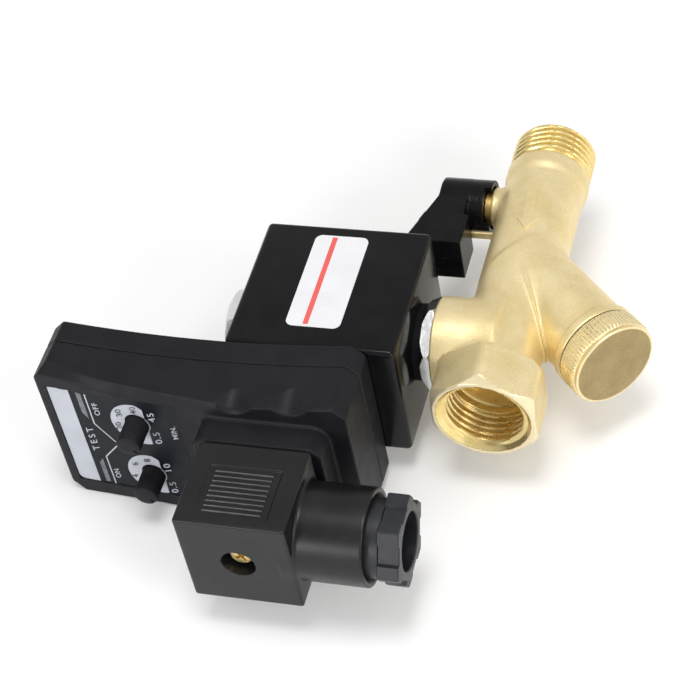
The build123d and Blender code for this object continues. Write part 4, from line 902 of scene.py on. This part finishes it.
netted("connectorBody", connectorField, (-60.2, -49.6, -14.8), (-15.9, -24.7, 14.8), 0.33, "connector_black",
    ("connector_housing",))
ribs = dict(count=9, centre=-46.2, half=7.0, first=33.4, last=44.6, width=0.3, height=0.32, ridge=0.08, endSlope=0.2,
    sink=0.27)
points, faces = [], []
base = connector["halfHeight"] - ribs["sink"]
ridgeHeight, width, ridge = base + ribs["height"], ribs["width"], ribs["ridge"]
for y in -np.linspace(ribs["first"], ribs["last"], ribs["count"]):
    low = len(points)
    for side in (-1, 1):
        x = ribs["centre"] + side * ribs["half"]
        inward = x - side * ribs["endSlope"]
        points += [(x, y - width, base), (x, y + width, base)]
        points += [(inward, y + ridge, ridgeHeight), (inward, y - ridge, ridgeHeight)]
    corners = ((3, 2, 1, 0), (4, 5, 6, 7), (1, 5, 4, 0), (2, 6, 5, 1), (3, 7, 6, 2), (0, 4, 7, 3))
    faces += [tuple(low + i for i in face) for face in corners]
newPiece("gripRibs", points, faces, "connector_black")


# cable gland nut with six lobes
gland = dict(shank=9.2, toothStart=-13.9, toothEnd=-8.8, corner=11.3, limit=11.18, recess=8.9, blockHalf=16.0,
    bore=6.86)
segments = 720
offCorner = np.abs(np.degrees(circleAngles(segments)) % 60 - 30)
toFlat = np.cos(np.radians(30 - offCorner))
block = gland["corner"] * math.cos(math.pi / 6) / toFlat
share = 1 - softStep((offCorner - gland["blockHalf"] + 0.5) / 1.0)
toothed = np.minimum(gland["recess"] / toFlat * (1 - share) + block * share, gland["limit"])
shankStart, start, end = boxOf("gland_nut")[0][0], gland["toothStart"], gland["toothEnd"]
rings = [(shankStart, gland["bore"]), (shankStart, gland["shank"]), (start - 0.02, gland["shank"])]
rings += [(start, toothed - 0.2), (start + 0.2, toothed), (end - 0.3, toothed), (end - 0.05, toothed - 0.25),
    (end, toothed - 0.45)]
rings += [(end, gland["bore"] + 0.25), (end - 0.25, gland["bore"])]
turned("glandNut", barrelBase, (1, 0, 0), rings, segments, "gland_black", ("gland_nut",), "gland_unit", closed=True,
    crease=14)
print("connector and gland")


# screw that holds the connector, with a cross recess
screw = dict(radius=2.75, face=-46.3, seat=-42.5, crossWidth=0.75, crossReach=2.0, crossDepth=1.5, turn=32, shank=1.5,
    tip=1.1)
screwEnd = boxOf("fixing_screw")[1][1]


def fixingScrewField(x, y, z):
    x = x - connector["x"]
    head = rounded(np.hypot(x, z) - screw["radius"], within(y, screw["face"], screw["seat"]), 0.45)
    turn, half, reach = math.radians(screw["turn"]), screw["crossWidth"] / 2, screw["crossReach"]
    u, v = x * math.cos(turn) + z * math.sin(turn), z * math.cos(turn) - x * math.sin(turn)
    u, v = np.abs(u), np.abs(v)
    cross = either(np.maximum(u - half, v - reach), np.maximum(v - half, u - reach))
    return np.maximum(head, -np.maximum(cross, y - screw["face"] - screw["crossDepth"]))


netted("fixingScrewHead", fixingScrewField, (-49.3, -46.8, -3.3), (-42.8, -42.1, 3.3), 0.14, "brass_turned",
    ("fixing_screw",))
length = screwEnd - screw["seat"]
shank = [(0.1, screw["shank"]), (length - 0.4, screw["shank"]), (length, screw["tip"])]
turned("fixingScrewShank", (connector["x"], screw["seat"], 0), flowAxis, shank, 40, "brass_turned", ("fixing_screw",))


# carried-over CAD pieces get their finish, and some a soft edge
softNodes = ("stem_gland", "handle_screw", "housing_screws", "coil_washer", "seat_retainer", "gland_grommet")
softEdges = dict(width=0.12, angle=35)
for name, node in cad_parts.items():
    slotName = node.data.materials[0].name.split(".")[0] if node.data.materials else "timer_black"
    for place in range(len(node.data.materials)):
        node.data.materials[place] = finishes[slotName]
    if name in softNodes:
        softening = node.modifiers.new("edges", "BEVEL")
        softening.width, softening.segments = softEdges["width"] * mm, 2
        softening.limit_method, softening.angle_limit = "ANGLE", math.radians(softEdges["angle"])


# floor, light and camera
studio = dict(floorReach=4, floorColour=0.86, floorLift=0.12, sky=0.60, horizon=0.95)
lowest = cadBox[0][2]
floorMesh = bpy.data.meshes.new("floor")
reach = studio["floorReach"]
corners = [(-reach, -reach, lowest), (reach, -reach, lowest), (reach, reach, lowest), (-reach, reach, lowest)]
floorMesh.from_pydata(corners, [], [(0, 1, 2, 3)])
floor = bpy.data.objects.new("floor", floorMesh)
bpy.context.scene.collection.objects.link(floor)
floorPaint = bpy.data.materials.new("floorPaint")
graph = Graph(floorPaint)
path = graph.add("ShaderNodeLightPath").outputs
seen = graph.math("MAXIMUM", path["Is Camera Ray"], path["Is Glossy Ray"])
seen = graph.math("MAXIMUM", seen, path["Is Transmission Ray"])
shader = graph.add("ShaderNodeBsdfPrincipled", {
    "Base Color": (*[studio["floorColour"]] * 3, 1), "Roughness": 0.9, "Specular IOR Level": 0.1,
    "Emission Color": (1, 1, 1, 1), "Emission Strength": graph.math("MULTIPLY", seen, studio["floorLift"]),
})
graph.finish(shader, "ShaderNodeOutputMaterial")
floorMesh.materials.append(floorPaint)
floor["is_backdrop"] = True

world = bpy.data.worlds.new("studio")
bpy.context.scene.world = world
world.use_nodes = True
graph = Graph(world)
height = graph.add("ShaderNodeSeparateXYZ", {0: graph.add("ShaderNodeTexCoord").outputs["Generated"]}).outputs[2]
strength = graph.spread(height, 0.02, 0.25, studio["horizon"], studio["sky"])  # white at the horizon, dimmer overhead
backdrop = graph.add("ShaderNodeBackground", {"Color": (1, 1, 1, 1), "Strength": strength})
graph.finish(backdrop, "ShaderNodeOutputWorld")

centre = (Vector(cadBox[0]) + Vector(cadBox[1])) / 2
lamps = {
    "top": dict(place=(0.06, -0.12, 0.80), size=0.32, power=2.7),
    "front": dict(place=(-0.38, -0.80, 0.20), size=0.24, power=2.6),
    "right": dict(place=(0.70, -0.42, 0.42), size=0.36, power=2.6),
}
for name, spec in lamps.items():
    light = bpy.data.lights.new(name, "AREA")
    light.shape, light.size, light.energy = "DISK", spec["size"], spec["power"]
    lamp = bpy.data.objects.new(name, light)
    lamp.location = centre + Vector(spec["place"])
    lamp.rotation_euler = (centre - lamp.location).to_track_quat("-Z", "Y").to_euler()
    bpy.context.scene.collection.objects.link(lamp)

shot = dict(turn=23.628, down=46.491, roll=-12.561, distance=0.52236, lens=109.83, aim=(-0.003288, -0.001683, 0.000065))
cameraData = bpy.data.cameras.new("camera")
cameraData.lens, cameraData.sensor_width, cameraData.sensor_fit = shot["lens"], 36, "HORIZONTAL"
cameraData.clip_start, cameraData.clip_end = 0.01, 20
camera = bpy.data.objects.new("camera", cameraData)
tip, turn, roll = (math.radians(angle) for angle in (90 - shot["down"], shot["turn"], shot["roll"]))
facing = Euler((tip, 0, turn)).to_matrix() @ Matrix.Rotation(roll, 3, "Z")
place = centre + Vector(shot["aim"]) + facing.col[2] * shot["distance"]
camera.matrix_world = Matrix.Translation(place) @ facing.to_4x4()
bpy.context.scene.collection.objects.link(camera)
bpy.context.scene.camera = camera
bpy.context.scene.view_settings.view_transform = "Standard"

{"cad": cadBox, "visual": [list(corner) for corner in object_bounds()]}
